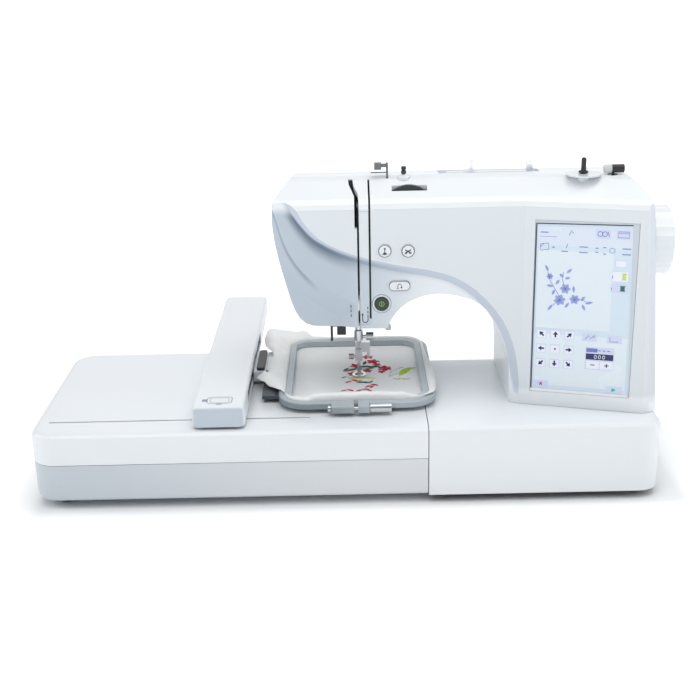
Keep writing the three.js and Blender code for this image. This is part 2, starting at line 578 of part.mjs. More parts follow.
function addUnit() {
  const bay = box(FREE_ARM.x0 - 4, 100, FREE_ARM.y0 - 4, FREE_ARM.y1 + 4, -10, 100);
  const bayWall = box(FREE_ARM.x0 - 4 - WALL, 100, FREE_ARM.y0 - 4 - WALL, FREE_ARM.y1 + 4 + WALL, -10, 100);
  const everywhere = (z0, z1) => box(-400, 200, -50, 300, z0, z1);
  const slot = box(-322, -44, SLOT_Y - 1.3, SLOT_Y + 1.3, 70, 90);
  let top = unitSlab(-20, BED_Z, 0).intersect(everywhere(SPLIT_Z, 100));
  top = top.subtract(unitSlab(0, BED_Z - WALL, WALL).subtract(bayWall)).subtract(bay).subtract(slot);
  add('unit_top_cover', top, 'shell');
  let tray = unitSlab(FOOT_H, 150, 0).intersect(everywhere(0, SPLIT_Z - 0.5));
  tray = tray.subtract(unitSlab(FOOT_H + WALL, 100, WALL).subtract(bayWall)).subtract(bay);
  add('unit_lower_cover', tray, 'shell');

  const { y, z, r } = RAIL;
  const end = (x) => box(x, x + 8, y - 9, y + 9, FOOT_H + WALL + GAP, z + 9);
  add('unit_rail', rod('x', r, y, z, -326, -30, 16).add(end(-330)).add(end(-36)), 'steel');
  const spots = { front_left: [-308, 28], back_left: [-308, 222] };
  for (const [name, [fx, fy]] of Object.entries(spots)) {
    add(`unit_foot_${name}`, foot(fx, fy), 'rubber');
  }
}

function addCarriageArm() {
  const { x0, x1, y0, y1, z0, z1 } = ARM;
  let cover = prism('z', roundRect(x0, x1, y0, y1, [7, 7, 7, 7], 4), 60, z1, 4, 3);
  cover = cover.intersect(box(-300, 0, -10, 500, z0, 200));
  cover = cover.subtract(prism('z', roundRect(x0 + 2.5, x1 - 2.5, y0 + 2.5, y1 - 2.5, [5, 5, 5, 5], 3), 50, z1 - 3));
  cover = cover.subtract(box(x1 - 5, x1 + 5, 62, 262, 90.5, 104.5));
  add('arm_cover', cover, 'shell');

  let slider = prism('z', roundRect(x0 + 2.9, x1 - 2.9, y0 + 2.9, y1 - 2.9, [4.6, 4.6, 4.6, 4.6], 3), z0, z0 + 2.5);
  slider = slider.add(box(-158, -119, SLOT_Y - 0.8, SLOT_Y + 0.8, 46, z0 + 1));
  slider = slider.add(box(-158, -119, SLOT_Y - 4, RAIL.y + 10, RAIL.z - 10, RAIL.z + 10));
  slider = slider.subtract(rod('x', RAIL.r + 0.1, RAIL.y, RAIL.z, -170, -110, 16));
  add('arm_slide', slider, 'cast');
}

// ---------------------------------------------------------------- hoop
function addHoop() {
  const clamp = { y: 38.5, z: 93.3 };
  let outer = prism('z', ringOutline(HOOP.outX, HOOP.outY, 32, 7), 89.4, 97, 1.2, 1);
  outer = outer.subtract(prism('z', ringOutline(HOOP.midX, HOOP.midY, 24.5, 7), 80, 100));
  outer = outer.add(box(-21, 19.5, 33.5, 48, 89.6, 97)).subtract(box(3, 7.5, 20, 60, 80, 100));
  outer = outer.subtract(rod('x', 2.3, clamp.y, clamp.z, -40, 40, 12));
  outer = outer.add(box(-97.5, -78.5, 78, 200, 89.4, 93.4).subtract(box(-92.8, -84.4, 140, 193, 80, 100)));
  outer = outer.intersect(box(-120, 120, 0, 300, 80, 100));
  add('hoop_outer_frame', outer, 'grey');
  let inner = prism('z', ringOutline(78.5, 98.1, 24, 7), 90.8, 98);
  inner = inner.subtract(prism('z', ringOutline(HOOP.inX, HOOP.inY, 17, 7), 80, 100));
  add('hoop_inner_frame', inner, 'grey');
  const sheet = prism('z', ringOutline(78.5, 98.1, 24, 7), 89.2, 90.5)
    .subtract(rod('z', 1.6, NEEDLE.x, NEEDLE.y, 80, 100, 12));
  add('hooped_fabric', sheet, 'cloth');

  const screw = rod('x', 2, clamp.y, clamp.z, -23, 26, 12)
    .add(rod('x', 3.6, clamp.y, clamp.z, -25, -21.6, 12))
    .add(rod('x', 4.9, clamp.y, clamp.z, 20.1, 43, 12));
  add('hoop_clamp_screw', screw, 'steel');

  let carriage = box(-110.6, -99, 134, 199, 89, 101).add(box(-100, -96.5, 134, 199, 94.4, 101));
  carriage = carriage.add(box(-100, -85, 144, 189, 94.2, 99)).add(box(-92, -85, 144, 189, 90, 95));
  carriage = carriage.add(box(-118, -110, 148, 185, 93.5, 99)).add(box(-150, -117, 144, 189, 92, 104));
  add('hoop_carriage', carriage, 'trim');
  const lever = prism('z', roundRect(-107.2, -98, 136, 196, [3, 3, 3, 3], 3), 101.4, 105);
  add('hoop_lock_lever', lever, 'dark');
}

addBase();
addFreeArm();
addFrame();
addDrive();
addNeedleParts();
addHead();
addTop();
addButtons();
addUnit();
addCarriageArm();
addHoop();

export default group;
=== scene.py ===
import json
import math
import random

import bmesh
import bpy
from mathutils import Matrix, Vector, noise


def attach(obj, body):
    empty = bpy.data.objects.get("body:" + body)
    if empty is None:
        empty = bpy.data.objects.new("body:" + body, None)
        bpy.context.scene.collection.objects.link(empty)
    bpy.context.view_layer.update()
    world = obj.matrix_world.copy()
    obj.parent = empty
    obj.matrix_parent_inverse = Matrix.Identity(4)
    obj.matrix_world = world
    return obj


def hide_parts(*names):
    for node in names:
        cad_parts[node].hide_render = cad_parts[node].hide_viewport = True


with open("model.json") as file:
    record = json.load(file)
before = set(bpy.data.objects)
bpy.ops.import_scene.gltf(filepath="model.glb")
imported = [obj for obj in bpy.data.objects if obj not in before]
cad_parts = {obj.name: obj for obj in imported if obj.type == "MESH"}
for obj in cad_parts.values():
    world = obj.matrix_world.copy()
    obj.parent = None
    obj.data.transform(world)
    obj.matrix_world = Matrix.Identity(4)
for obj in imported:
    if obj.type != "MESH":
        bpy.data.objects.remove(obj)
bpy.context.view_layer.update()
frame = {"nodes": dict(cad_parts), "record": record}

NODES = frame["nodes"]
ORIGIN = Vector((-0.007, -0.200, 0.0))  # layout frame (mm, front face at Y 0) to the row frame
rng = random.Random(7)

FACE_Y = 62.0  # front face of the head
LOW_FACE_Y = 66.5  # the part of it below the sweep
PANEL_X, PANEL_Y, PANEL_TURN = 182.0, 62.0, math.radians(-15.5)  # turned screen panel
BUTTON_PROUD = 1.8  # the buttons' caps stand this far out of the face
CAMERA_PLACE = (0, -1080.8, 562.3)
SHELL = (0.85, 0.878, 0.903)

HOOP_X, HOOP_Y = 6.8, 151.0
WORK_HALF_X, WORK_HALF_Y, WORK_CORNER = 78.75, 98.35, 24.2  # line of the gap between the hoop's frames
CLOTH_Z = 90.3  # the stretched work
RING_TOP = 97.6
BED_TOP = 86.2
LEVER_CLEAR = 100.8  # under the swing of the lock lever
CLOTH_LEFT = -110.2  # the free cloth stays right of this
ROUND, INSIDE, FLAP = 320, 16, 18  # points round the cloth, and rows inside and outside the hoop


def at(x, y, z):
    """A point given in layout millimetres."""
    return Vector((x / 1000, y / 1000, z / 1000)) + ORIGIN


# ------------------------------------------------------------------ camera, light, floor
def make_camera():
    pitch, roll = math.radians(19.8), math.radians(1.2)
    forward = Vector((0, math.cos(pitch), -math.sin(pitch)))
    right = Vector((1, 0, 0))
    down = Vector((0, -math.sin(pitch), -math.cos(pitch)))
    x = math.cos(roll) * right + math.sin(roll) * down
    y = -(-math.sin(roll) * right + math.cos(roll) * down)
    data = bpy.data.cameras.new("camera")
    data.lens = 58.58
    data.sensor_width = 36
    data.clip_start = 0.05
    data.clip_end = 80
    cam = bpy.data.objects.new("camera", data)
    m = Matrix((x, y, -forward)).transposed().to_4x4()
    m.translation = at(*CAMERA_PLACE)
    cam.matrix_world = m
    bpy.context.collection.objects.link(cam)
    bpy.context.scene.camera = cam


def area_light(name, place, aim, size, power, colour=(1, 1, 1)):
    data = bpy.data.lights.new(name, "AREA")
    data.shape = "RECTANGLE"
    data.size, data.size_y = size
    data.energy = power
    data.color = colour
    o = bpy.data.objects.new(name, data)
    o.location = place
    o.rotation_euler = (Vector(aim) - Vector(place)).to_track_quat("-Z", "Y").to_euler()
    bpy.context.collection.objects.link(o)


def make_studio():
    world = bpy.data.worlds.new("studio")
    bpy.context.scene.world = world
    world.use_nodes = True
    back = world.node_tree.nodes["Background"]
    back.inputs["Color"].default_value = (0.90, 0.95, 1.0, 1)
    back.inputs["Strength"].default_value = 0.32
    area_light("top_soft", (0.1, -0.35, 1.8), (0.0, -0.15, 0.1), (2.2, 1.1), 17.0, (1, 0.995, 0.985))
    area_light("key_right", (0.8, -1.25, 1.6), (0.1, -0.1, 0.1), (0.9, 0.7), 3.2)
    area_light("key_left", (-0.8, -1.35, 1.5), (0.05, -0.1, 0.1), (0.9, 0.7), 3.2)
    area_light("right_fill", (1.8, -0.2, 0.9), (0, 0, 0.15), (1.0, 1.0), 6.0)
    area_light("left_fill", (-1.8, -0.1, 0.95), (0.1, 0, 0.1), (1.0, 0.8), 6.5)
    area_light("back_soft", (0.0, 1.8, 0.9), (0, 0, 0.2), (2.0, 1.0), 5)
    bpy.ops.mesh.primitive_plane_add(size=70, location=(0, 0, -0.0004))
    floor = bpy.context.object
    floor.name = "floor"
    floor.data.materials.append(floor_material())
    bpy.context.scene.view_settings.view_transform = "Standard"


def floor_material():
    """White sweep that glows a little, least of all under the machine."""
    mat, n, l, bsdf = new_material("floor", (0.94, 0.945, 0.95), 0.6)
    coord = n.new("ShaderNodeTexCoord")
    size = n.new("ShaderNodeVectorMath")
    size.operation = "ABSOLUTE"
    l.new(coord.outputs["Object"], size.inputs[0])
    over = n.new("ShaderNodeVectorMath")
    over.operation = "SUBTRACT"
    over.inputs[1].default_value = (0.333, 0.198, 0)
    l.new(size.outputs["Vector"], over.inputs[0])
    clip = n.new("ShaderNodeVectorMath")
    clip.operation = "MAXIMUM"
    clip.inputs[1].default_value = (0, 0, 0)
    l.new(over.outputs["Vector"], clip.inputs[0])
    far = n.new("ShaderNodeVectorMath")
    far.operation = "LENGTH"
    l.new(clip.outputs["Vector"], far.inputs[0])
    glow = n.new("ShaderNodeValToRGB")
    steps = glow.color_ramp.elements
    steps[0].position, steps[0].color = 0.003, (0.0, 0.0, 0.0, 1)
    steps[1].position, steps[1].color = 1.0, (0.86, 0.86, 0.86, 1)
    for place, level in ((0.009, 0.02), (0.02, 0.16), (0.05, 0.28), (0.35, 0.34), (0.6, 0.5)):
        step = steps.new(place)
        step.color = (level, level, level, 1)
    l.new(far.outputs["Value"], glow.inputs["Fac"])
    bsdf.inputs["Emission Color"].default_value = (1, 1, 1, 1)
    l.new(glow.outputs["Color"], bsdf.inputs["Emission Strength"])
    return mat


# ------------------------------------------------------------------ materials
def new_material(name, colour, rough, metal=0.0):
    mat = bpy.data.materials.new(name)
    mat.use_nodes = True
    nodes, links = mat.node_tree.nodes, mat.node_tree.links
    bsdf = nodes["Principled BSDF"]
    bsdf.inputs["Base Color"].default_value = (*colour, 1)
    bsdf.inputs["Roughness"].default_value = rough
    bsdf.inputs["Metallic"].default_value = metal
    return mat, nodes, links, bsdf


def surface(name, colour, rough, metal=0.0, spread=0.03, grain=900.0, bump=0.02, coat=0.0, patch=18.0,
            glow=0.0, sheen=0.0):
    """Moulded or worked surface: slight colour drift, grainy roughness and fine bump."""
    mat, nodes, links, bsdf = new_material(name, colour, rough, metal)
    coord = nodes.new("ShaderNodeTexCoord")
    broad = nodes.new("ShaderNodeTexNoise")
    broad.inputs["Scale"].default_value = patch
    broad.inputs["Detail"].default_value = 4
    links.new(coord.outputs["Object"], broad.inputs["Vector"])
    mix = nodes.new("ShaderNodeMix")
    mix.data_type = "RGBA"
    low = tuple(max(0.0, c * (1 - spread)) for c in colour)
    high = tuple(min(1.0, c * (1 + spread)) for c in colour)
    mix.inputs[6].default_value = (*low, 1)
    mix.inputs[7].default_value = (*high, 1)
    links.new(broad.outputs["Fac"], mix.inputs[0])
    links.new(mix.outputs[2], bsdf.inputs["Base Color"])
    fine = nodes.new("ShaderNodeTexNoise")
    fine.inputs["Scale"].default_value = grain
    fine.inputs["Detail"].default_value = 3
    links.new(coord.outputs["Object"], fine.inputs["Vector"])
    ramp = nodes.new("ShaderNodeMapRange")
    ramp.inputs["To Min"].default_value = max(0.02, rough - 0.06)
    ramp.inputs["To Max"].default_value = min(1.0, rough + 0.08)
    links.new(broad.outputs["Fac"], ramp.inputs["Value"])
    links.new(ramp.outputs["Result"], bsdf.inputs["Roughness"])
    b = nodes.new("ShaderNodeBump")
    b.inputs["Strength"].default_value = bump
    b.inputs["Distance"].default_value = 0.0004
    links.new(fine.outputs["Fac"], b.inputs["Height"])
    links.new(b.outputs["Normal"], bsdf.inputs["Normal"])
    if coat:
        bsdf.inputs["Coat Weight"].default_value = coat
        bsdf.inputs["Coat Roughness"].default_value = 0.12
    if sheen:
        bsdf.inputs["Sheen Weight"].default_value = sheen
    if glow:
        links.new(mix.outputs[2], bsdf.inputs["Emission Color"])
        bsdf.inputs["Emission Strength"].default_value = glow
    return mat


def weave(name, colour):
    """Plain woven cotton: two crossed thread waves under soft creases."""
    mat, nodes, links, bsdf = new_material(name, colour, 0.95)
    coord = nodes.new("ShaderNodeTexCoord")
    waves = []
    for direction in ("X", "Y"):
        w = nodes.new("ShaderNodeTexWave")
        w.bands_direction = direction
        w.inputs["Scale"].default_value = 420
        w.inputs["Distortion"].default_value = 0.6
        links.new(coord.outputs["Object"], w.inputs["Vector"])
        waves.append(w)
    add = nodes.new("ShaderNodeMath")
    add.operation = "ADD"
    links.new(waves[0].outputs["Fac"], add.inputs[0])
    links.new(waves[1].outputs["Fac"], add.inputs[1])
    crease = nodes.new("ShaderNodeTexNoise")
    crease.inputs["Scale"].default_value = 26
    crease.inputs["Detail"].default_value = 3
    links.new(coord.outputs["Object"], crease.inputs["Vector"])
    # colour follows the crease noise: painted shade in the creases' hollows and painted light on their ridges
    mix = nodes.new("ShaderNodeMix")
    mix.data_type = "RGBA"
    mix.inputs[6].default_value = (*[c * 0.95 for c in colour], 1)
    mix.inputs[7].default_value = (*[min(1, c * 1.03) for c in colour], 1)
    links.new(crease.outputs["Fac"], mix.inputs[0])
    links.new(mix.outputs[2], bsdf.inputs["Base Color"])
    fine = nodes.new("ShaderNodeBump")
    fine.inputs["Strength"].default_value = 0.25
    fine.inputs["Distance"].default_value = 0.0002
    links.new(add.outputs[0], fine.inputs["Height"])
    soft = nodes.new("ShaderNodeBump")
    soft.inputs["Strength"].default_value = 0.35
    soft.inputs["Distance"].default_value = 0.004
    links.new(crease.outputs["Fac"], soft.inputs["Height"])
    links.new(fine.outputs["Normal"], soft.inputs["Normal"])
    links.new(soft.outputs["Normal"], bsdf.inputs["Normal"])
    bsdf.inputs["Sheen Weight"].default_value = 0.2
    return mat


def ramp(nodes, links, source, zero, one):
    """0 to 1 as the source goes from zero to one."""
    r = nodes.new("ShaderNodeMapRange")
    r.interpolation_type = "SMOOTHSTEP"
    low, high = sorted((zero, one))
    r.inputs["From Min"].default_value = low
    r.inputs["From Max"].default_value = high
    r.inputs["To Min"].default_value = 0.0 if zero < one else 1.0
    r.inputs["To Max"].default_value = 1.0 if zero < one else 0.0
    links.new(source, r.inputs["Value"])
    return r.outputs["Result"]


def product(nodes, links, first, *others):
    """All the masks multiplied together."""
    result = first
    for other in others:
        m = nodes.new("ShaderNodeMath")
        m.operation = "MULTIPLY"
        links.new(result, m.inputs[0])
        links.new(other, m.inputs[1])
        result = m.outputs[0]
    return result


def tint(mat, mask, colour):
    """Deepens the base colour where the mask is 1."""
    nodes, links = mat.node_tree.nodes, mat.node_tree.links
    base = nodes["Principled BSDF"].inputs["Base Color"]
    source = base.links[0].from_socket
    mix = nodes.new("ShaderNodeMix")
    mix.data_type = "RGBA"
    mix.blend_type = "MULTIPLY"
    links.new(mask, mix.inputs[0])
    links.new(source, mix.inputs[6])
    mix.inputs[7].default_value = (*colour, 1)
    links.new(mix.outputs[2], base)


def axes_of(nodes, links, output):
    coord = nodes.new("ShaderNodeTexCoord")
    axes = nodes.new("ShaderNodeSeparateXYZ")
    links.new(coord.outputs[output], axes.inputs[0])
    return axes.outputs


# Lower edge of the sweep across the head and arm: x, z in row-frame millimetres.
SWEEP = [(-75, 309), (-68.5, 296), (-62, 285), (-54, 274), (-44, 263), (-33, 255.5), (-20, 248.5), (-6, 243),
         (18, 236), (38, 231), (56, 227.5), (74, 224.5), (90, 220.5), (102, 215.5), (112, 209.5),
         (123, 201.5), (140, 182), (170, 100)]
# Upper edge of the raked cheek on the head's left, in the same terms.
CHEEK = [(-86, 310), (-80, 291), (-76.5, 277), (-72, 264), (-66, 251.5), (-59, 241), (-51, 231.5), (-43, 223),
         (-20, 205)]
CURVE_TOP = 400  # millimetres of height that a float curve's 0 to 1 stands for


def height_over(nodes, links, place, line):
    """Height above a line across the face, in metres."""
    across = nodes.new("ShaderNodeMapRange")
    across.inputs["From Min"].default_value = line[0][0] / 1000
    across.inputs["From Max"].default_value = line[-1][0] / 1000
    links.new(place["X"], across.inputs["Value"])
    edge = nodes.new("ShaderNodeFloatCurve")
    curve = edge.mapping.curves[0]
    width = line[-1][0] - line[0][0]
    curve.points[0].location = (0.0, line[0][1] / CURVE_TOP)
    curve.points[1].location = (1.0, line[-1][1] / CURVE_TOP)
    for x, z in line[1:-1]:
        curve.points.new((x - line[0][0]) / width, z / CURVE_TOP)
    edge.mapping.update()
    links.new(across.outputs["Result"], edge.inputs["Value"])
    scaled = nodes.new("ShaderNodeMath")
    scaled.operation = "MULTIPLY"
    scaled.inputs[1].default_value = CURVE_TOP / 1000
    links.new(edge.outputs["Value"], scaled.inputs[0])
    gap = nodes.new("ShaderNodeMath")
    gap.operation = "SUBTRACT"
    links.new(place["Z"], gap.inputs[0])
    links.new(scaled.outputs[0], gap.inputs[1])
    return gap.outputs[0]


def head_shell_painted_shade():
    """Shell colour with painted shade under the sweep, most of all in the hollow along its left end, and on
    the cheek's crease, the band round the screen and the shoulder.
    """
    mat = surface("head_shell_painted_shade", SHELL, 0.34, coat=0.2, spread=0.01)
    nodes, links = mat.node_tree.nodes, mat.node_tree.links
    place = axes_of(nodes, links, "Object")
    facing = axes_of(nodes, links, "Normal")
    over = height_over(nodes, links, place, SWEEP)
    beyond = height_over(nodes, links, place, CHEEK)

    def fade(source, zero, one):
        return ramp(nodes, links, source, zero, one)

    def shade(colour, *masks):
        tint(mat, product(nodes, links, *masks), colour)

    front = fade(place["Y"], -0.02, -0.10)
    # painted shade below the sweep
    shade((0.58, 0.64, 0.70), fade(over, 0.013, 0.008), fade(place["Z"], 0.308, 0.296),
          fade(place["X"], 0.10, -0.02), front)
    # deeper painted shade in the hollow along the sweep's left end
    shade((0.40, 0.46, 0.52), fade(over, 0.013, 0.0085), fade(over, -0.009, 0.006),
          fade(place["Z"], 0.304, 0.292), fade(place["X"], 0.03, -0.035), front)
    # painted shade along the crease of the cheek
    shade((0.62, 0.66, 0.71), fade(beyond, 0.0012, -0.0012), fade(beyond, -0.010, -0.002),
          fade(place["X"], -0.035, -0.055), front)
    # painted shade on the sloping band round the screen's panel, on faces turned aside and downwards
    shade((0.76, 0.79, 0.87), fade(facing["Y"], -0.955, -0.915), fade(facing["Y"], -0.66, -0.78),
          fade(facing["Z"], 0.15, -0.05), fade(over, -0.006, 0.0))
    # painted shade on the steeper faces of the shoulder above the sweep
    shade((0.86, 0.88, 0.885), fade(facing["Z"], 0.30, 0.12), front, fade(over, 0.0, 0.006))
    return mat


def arm_shell_painted_shade():
    """Shell colour of the unit's arm, with painted shade on the faces turned to the front."""
    mat = surface("arm_shell_painted_shade", SHELL, 0.34, coat=0.2, spread=0.01)
    nodes, links = mat.node_tree.nodes, mat.node_tree.links
    # painted shade: darker where the faces turn to the front
    tint(mat, ramp(nodes, links, axes_of(nodes, links, "Normal")["Y"], -0.35, -0.85), (0.62, 0.68, 0.74))
    return mat


def hoop_grey_painted_shade():
    """Hoop grey with painted shade on the bracket beside the ring, where the cloth shades it, and on the low
    left of the frame.
    """
    mat = surface("hoop_grey_painted_shade", (0.46, 0.51, 0.54), 0.42, spread=0.03, bump=0.05)
    nodes, links = mat.node_tree.nodes, mat.node_tree.links
    place = axes_of(nodes, links, "Object")
    # painted shade on the bracket beside the ring
    tint(mat, ramp(nodes, links, place["X"], -0.082, -0.088), (0.22, 0.24, 0.26))
    # painted shade on the lower left of the frame
    left = ramp(nodes, links, place["X"], 0.04, -0.05)
    low = ramp(nodes, links, place["Z"], 0.0975, 0.0955)
    tint(mat, product(nodes, links, left, low), (0.55, 0.58, 0.60))
    return mat


def two_tone(name, pale, deep, axis, low, high):
    """Pale plastic that turns dark between two places along one axis."""
    mat = surface(name, pale, 0.38, spread=0.03, bump=0.05)
    nodes, links = mat.node_tree.nodes, mat.node_tree.links
    mask = ramp(nodes, links, axes_of(nodes, links, "Object")[axis], low, high)
    tint(mat, mask, tuple(d / p for d, p in zip(deep, pale)))
    return mat


def tray_shell_painted_shade():
    """Shell colour of the unit's lower cover, darker all over and more towards its left end: painted shade.
    """
    # painted shade: the whole cover darker than the shell
    mat = surface("tray_shell_painted_shade", tuple(0.84 * c for c in SHELL), 0.34, coat=0.2, spread=0.01)
    nodes, links = mat.node_tree.nodes, mat.node_tree.links
    # painted shade deepening towards the left end
    tint(mat, ramp(nodes, links, axes_of(nodes, links, "Object")["X"], 0.02, -0.34), (0.80, 0.84, 0.88))
    return mat


def make_materials():
    return {
        "shell": surface("shell", SHELL, 0.34, coat=0.2, spread=0.01),
        "head": head_shell_painted_shade(),
        "tray": tray_shell_painted_shade(),
        "arm": arm_shell_painted_shade(),
        "hoop": hoop_grey_painted_shade(),
        "knob": two_tone("knob", SHELL, (0.03, 0.03, 0.035), "Z", 0.3310, 0.3318),
        "stopper": two_tone("stopper", (0.6, 0.62, 0.64), (0.02, 0.02, 0.024), "X", 0.2655, 0.2665),
        "guide": surface("guide", (0.16, 0.17, 0.18), 0.3, 0.9, spread=0.1),
        "trim": surface("trim", (0.80, 0.83, 0.855), 0.38, coat=0.1, spread=0.015),
        "grey": surface("grey", (0.46, 0.51, 0.54), 0.42, spread=0.03, bump=0.05),
        "dark": surface("dark", (0.018, 0.02, 0.024), 0.38, spread=0.1, bump=0.05),
        "rubber": surface("rubber", (0.02, 0.02, 0.022), 0.85, spread=0.15, bump=0.2, grain=500),
        "steel": surface("steel", (0.62, 0.64, 0.66), 0.2, 1.0, spread=0.05, bump=0.02),
        "cast": surface("cast", (0.42, 0.44, 0.46), 0.55, 0.9, spread=0.08, bump=0.25, grain=350),
        "board": surface("board", (0.02, 0.16, 0.07), 0.5, spread=0.2),
        "glass": surface("glass", (0.60, 0.70, 0.79), 0.10, spread=0.02, glow=0.10, patch=6),
        "clear": surface("clear", (0.70, 0.74, 0.77), 0.12, spread=0.03),
        "green": surface("green", (0.006, 0.03, 0.012), 0.25, coat=0.2, spread=0.15),
        "cloth": weave("cloth", (0.93, 0.93, 0.92)),
    }


# Width of the softened edges in metres, where it isn't EDGE_WIDTH.
EDGE_WIDTH = 0.0006
EDGE = {"front_cover": 0.0011, "rear_cover": 0.0011, "base_cover": 0.001, "unit_top_cover": 0.001,
        "unit_lower_cover": 0.0008, "arm_cover": 0.001, "hoop_outer_frame": 0.0009,
        "hoop_inner_frame": 0.0009, "needle": 0.0, "hooped_fabric": 0.0, "feed_dog": 0.0,
        "thread_channel_cover": 0.0004}
CREASED = ("front_cover", "rear_cover", "thread_channel_cover")
# Finish of a node, where it isn't named after the node's slot.
FINISH = {"unit_lower_cover": "tray", "arm_cover": "arm", "hoop_outer_frame": "hoop", "spool_pin": "shell",
          "bobbin_winding_guide": "knob", "winder_stopper": "stopper", "top_thread_guide": "guide",
          "winder_seat": "clear", "spool_cap": "shell", "take_up_lever": "guide"}


def soften(o, width, angle):
    mesh = o.data
    if "custom_normal" in mesh.attributes:
        mesh.attributes.remove(mesh.attributes["custom_normal"])
    mesh.polygons.foreach_set("use_smooth", [True] * len(mesh.polygons))
    weld = o.modifiers.new("weld", "WELD")
    weld.merge_threshold = 0.00002
    flat = o.modifiers.new("flat", "DECIMATE")
    flat.decimate_type = "DISSOLVE"
    flat.angle_limit = math.radians(0.6)
    if width:
        bevel = o.modifiers.new("bevel", "BEVEL")
        bevel.width = width
        bevel.segments = 3
        bevel.limit_method = "ANGLE"
        bevel.angle_limit = math.radians(angle)
        bevel.use_clamp_overlap = True
    normal = o.modifiers.new("normal", "WEIGHTED_NORMAL")
    normal.weight = 60
    normal.keep_sharp = False


def dress_cad(mats):
    """Gives every CAD node its finish, softened edges and smooth shading."""
    slots = {s["node"]: s["material_slot"] for s in frame["record"]["subparts"]}
    for name, o in NODES.items():
        kind = slots[name].lower()
        mat = mats["head" if name in CREASED else FINISH.get(name, kind)]
        o.data.materials.clear()
        o.data.materials.append(mat)
        soften(o, EDGE.get(name, EDGE_WIDTH), 11 if name in CREASED else 28)


# ------------------------------------------------------------------ thin graphics on flat faces
def circle(a, b, ra, rb, n):
    """n points round a circle or an ellipse."""
    turns = [2 * math.pi * i / n for i in range(n)]
    return [(a + ra * math.cos(t), b + rb * math.sin(t)) for t in turns]


class Sketch:
    """Thin raised shapes on a flat face. place maps (a, b) millimetres to the face."""

    def __init__(self, place, normal, thick=0.12):
        self.place, self.normal, self.thick = place, normal, thick / 1000
        self.bm = bmesh.new()

    def poly(self, points):
        base = [self.place(a, b) for a, b in points]
        low = [self.bm.verts.new(p) for p in base]
        top = [self.bm.verts.new(p + self.normal * self.thick) for p in base]
        n = len(low)
        self.bm.faces.new(top)
        self.bm.faces.new(low[::-1])
        for i in range(n):
            self.bm.faces.new((low[i], low[(i + 1) % n], top[(i + 1) % n], top[i]))

    def rect(self, a, b, w, h):
        left, right, low, high = a - w / 2, a + w / 2, b - h / 2, b + h / 2
        self.poly([(left, low), (right, low), (right, high), (left, high)])

    def disc(self, a, b, r, n=24):
        self.poly(circle(a, b, r, r, n))

    def line(self, a0, b0, a1, b1, w):
        length = math.hypot(a1 - a0, b1 - b0)
        da, db = (b0 - b1) / length * w / 2, (a1 - a0) / length * w / 2
        self.poly([(a0 - da, b0 - db), (a1 - da, b1 - db), (a1 + da, b1 + db), (a0 + da, b0 + db)])

    def path(self, points, w, closed=False):
        """A mitred stroke along the points."""
        n = len(points)
        left, right = [], []
        for i, (a, b) in enumerate(points):
            before = points[i - 1] if i or closed else points[0]
            after = points[(i + 1) % n] if i < n - 1 or closed else points[-1]
            da, db = after[0] - before[0], after[1] - before[1]
            length = math.hypot(da, db) or 1
            left.append((a - db / length * w / 2, b + da / length * w / 2))
            right.append((a + db / length * w / 2, b - da / length * w / 2))
        for i in range(n if closed else n - 1):
            j = (i + 1) % n
            self.poly([right[i], right[j], left[j], left[i]])

    def ring(self, a, b, r, w, n=36, ry=None):
        self.path(circle(a, b, r, ry or r, n), w, True)

    def arrow(self, a, b, da, db, size, w):
        """A stubby arrow centred on (a, b)."""
        length = math.hypot(da, db)
        ua, ub = da / length, db / length
        self.line(a - ua * size, b - ub * size, a + ua * size * 0.2, b + ub * size * 0.2, w)
        tip, back = (a + ua * size, b + ub * size), (a - ua * size * 0.1, b - ub * size * 0.1)
        wing_a, wing_b = ub * w * 1.5, ua * w * 1.5
        self.poly([(back[0] - wing_a, back[1] + wing_b), (back[0] + wing_a, back[1] - wing_b), tip])

    def leaf(self, a, b, angle, length, width, n=5):
        ca, sa = math.cos(angle), math.sin(angle)
        side = [(length * (i / n - 0.5), width / 2 * math.sin(math.pi * i / n)) for i in range(n + 1)]
        outline = side + [(u, -v) for u, v in side[-2:0:-1]]
        self.poly([(a + u * ca - v * sa, b + u * sa + v * ca) for u, v in outline])

    def make(self, name, mat, body, kind="dark"):
        bmesh.ops.recalc_face_normals(self.bm, faces=self.bm.faces)
        return add_mesh(name, self.bm, mat, body)


def add_mesh(name, bm, mat, body, shade=False):
    mesh = bpy.data.meshes.new(name)
    bm.to_mesh(mesh)
    bm.free()
    mesh.materials.append(mat)
    if shade:
        mesh.polygons.foreach_set("use_smooth", [True] * len(mesh.polygons))
    o = bpy.data.objects.new(name, mesh)
    bpy.context.collection.objects.link(o)
    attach(o, body)
    return o


def add_box(bm, x0, x1, y0, y1, z0, z1):
    corners = [bm.verts.new(at(x, y, z)) for x in (x0, x1) for y in (y0, y1) for z in (z0, z1)]
    for q in ((0, 1, 3, 2), (4, 6, 7, 5), (0, 4, 5, 1), (2, 3, 7, 6), (0, 2, 6, 4), (1, 5, 7, 3)):
        bm.faces.new([corners[i] for i in q])


FRONT = Vector((0, -1, 0))
UP = Vector((0, 0, 1))


def on_front(y):
    return lambda x, z: at(x, y, z)


def on_top(z):
    return lambda x, y: at(x, y, z)


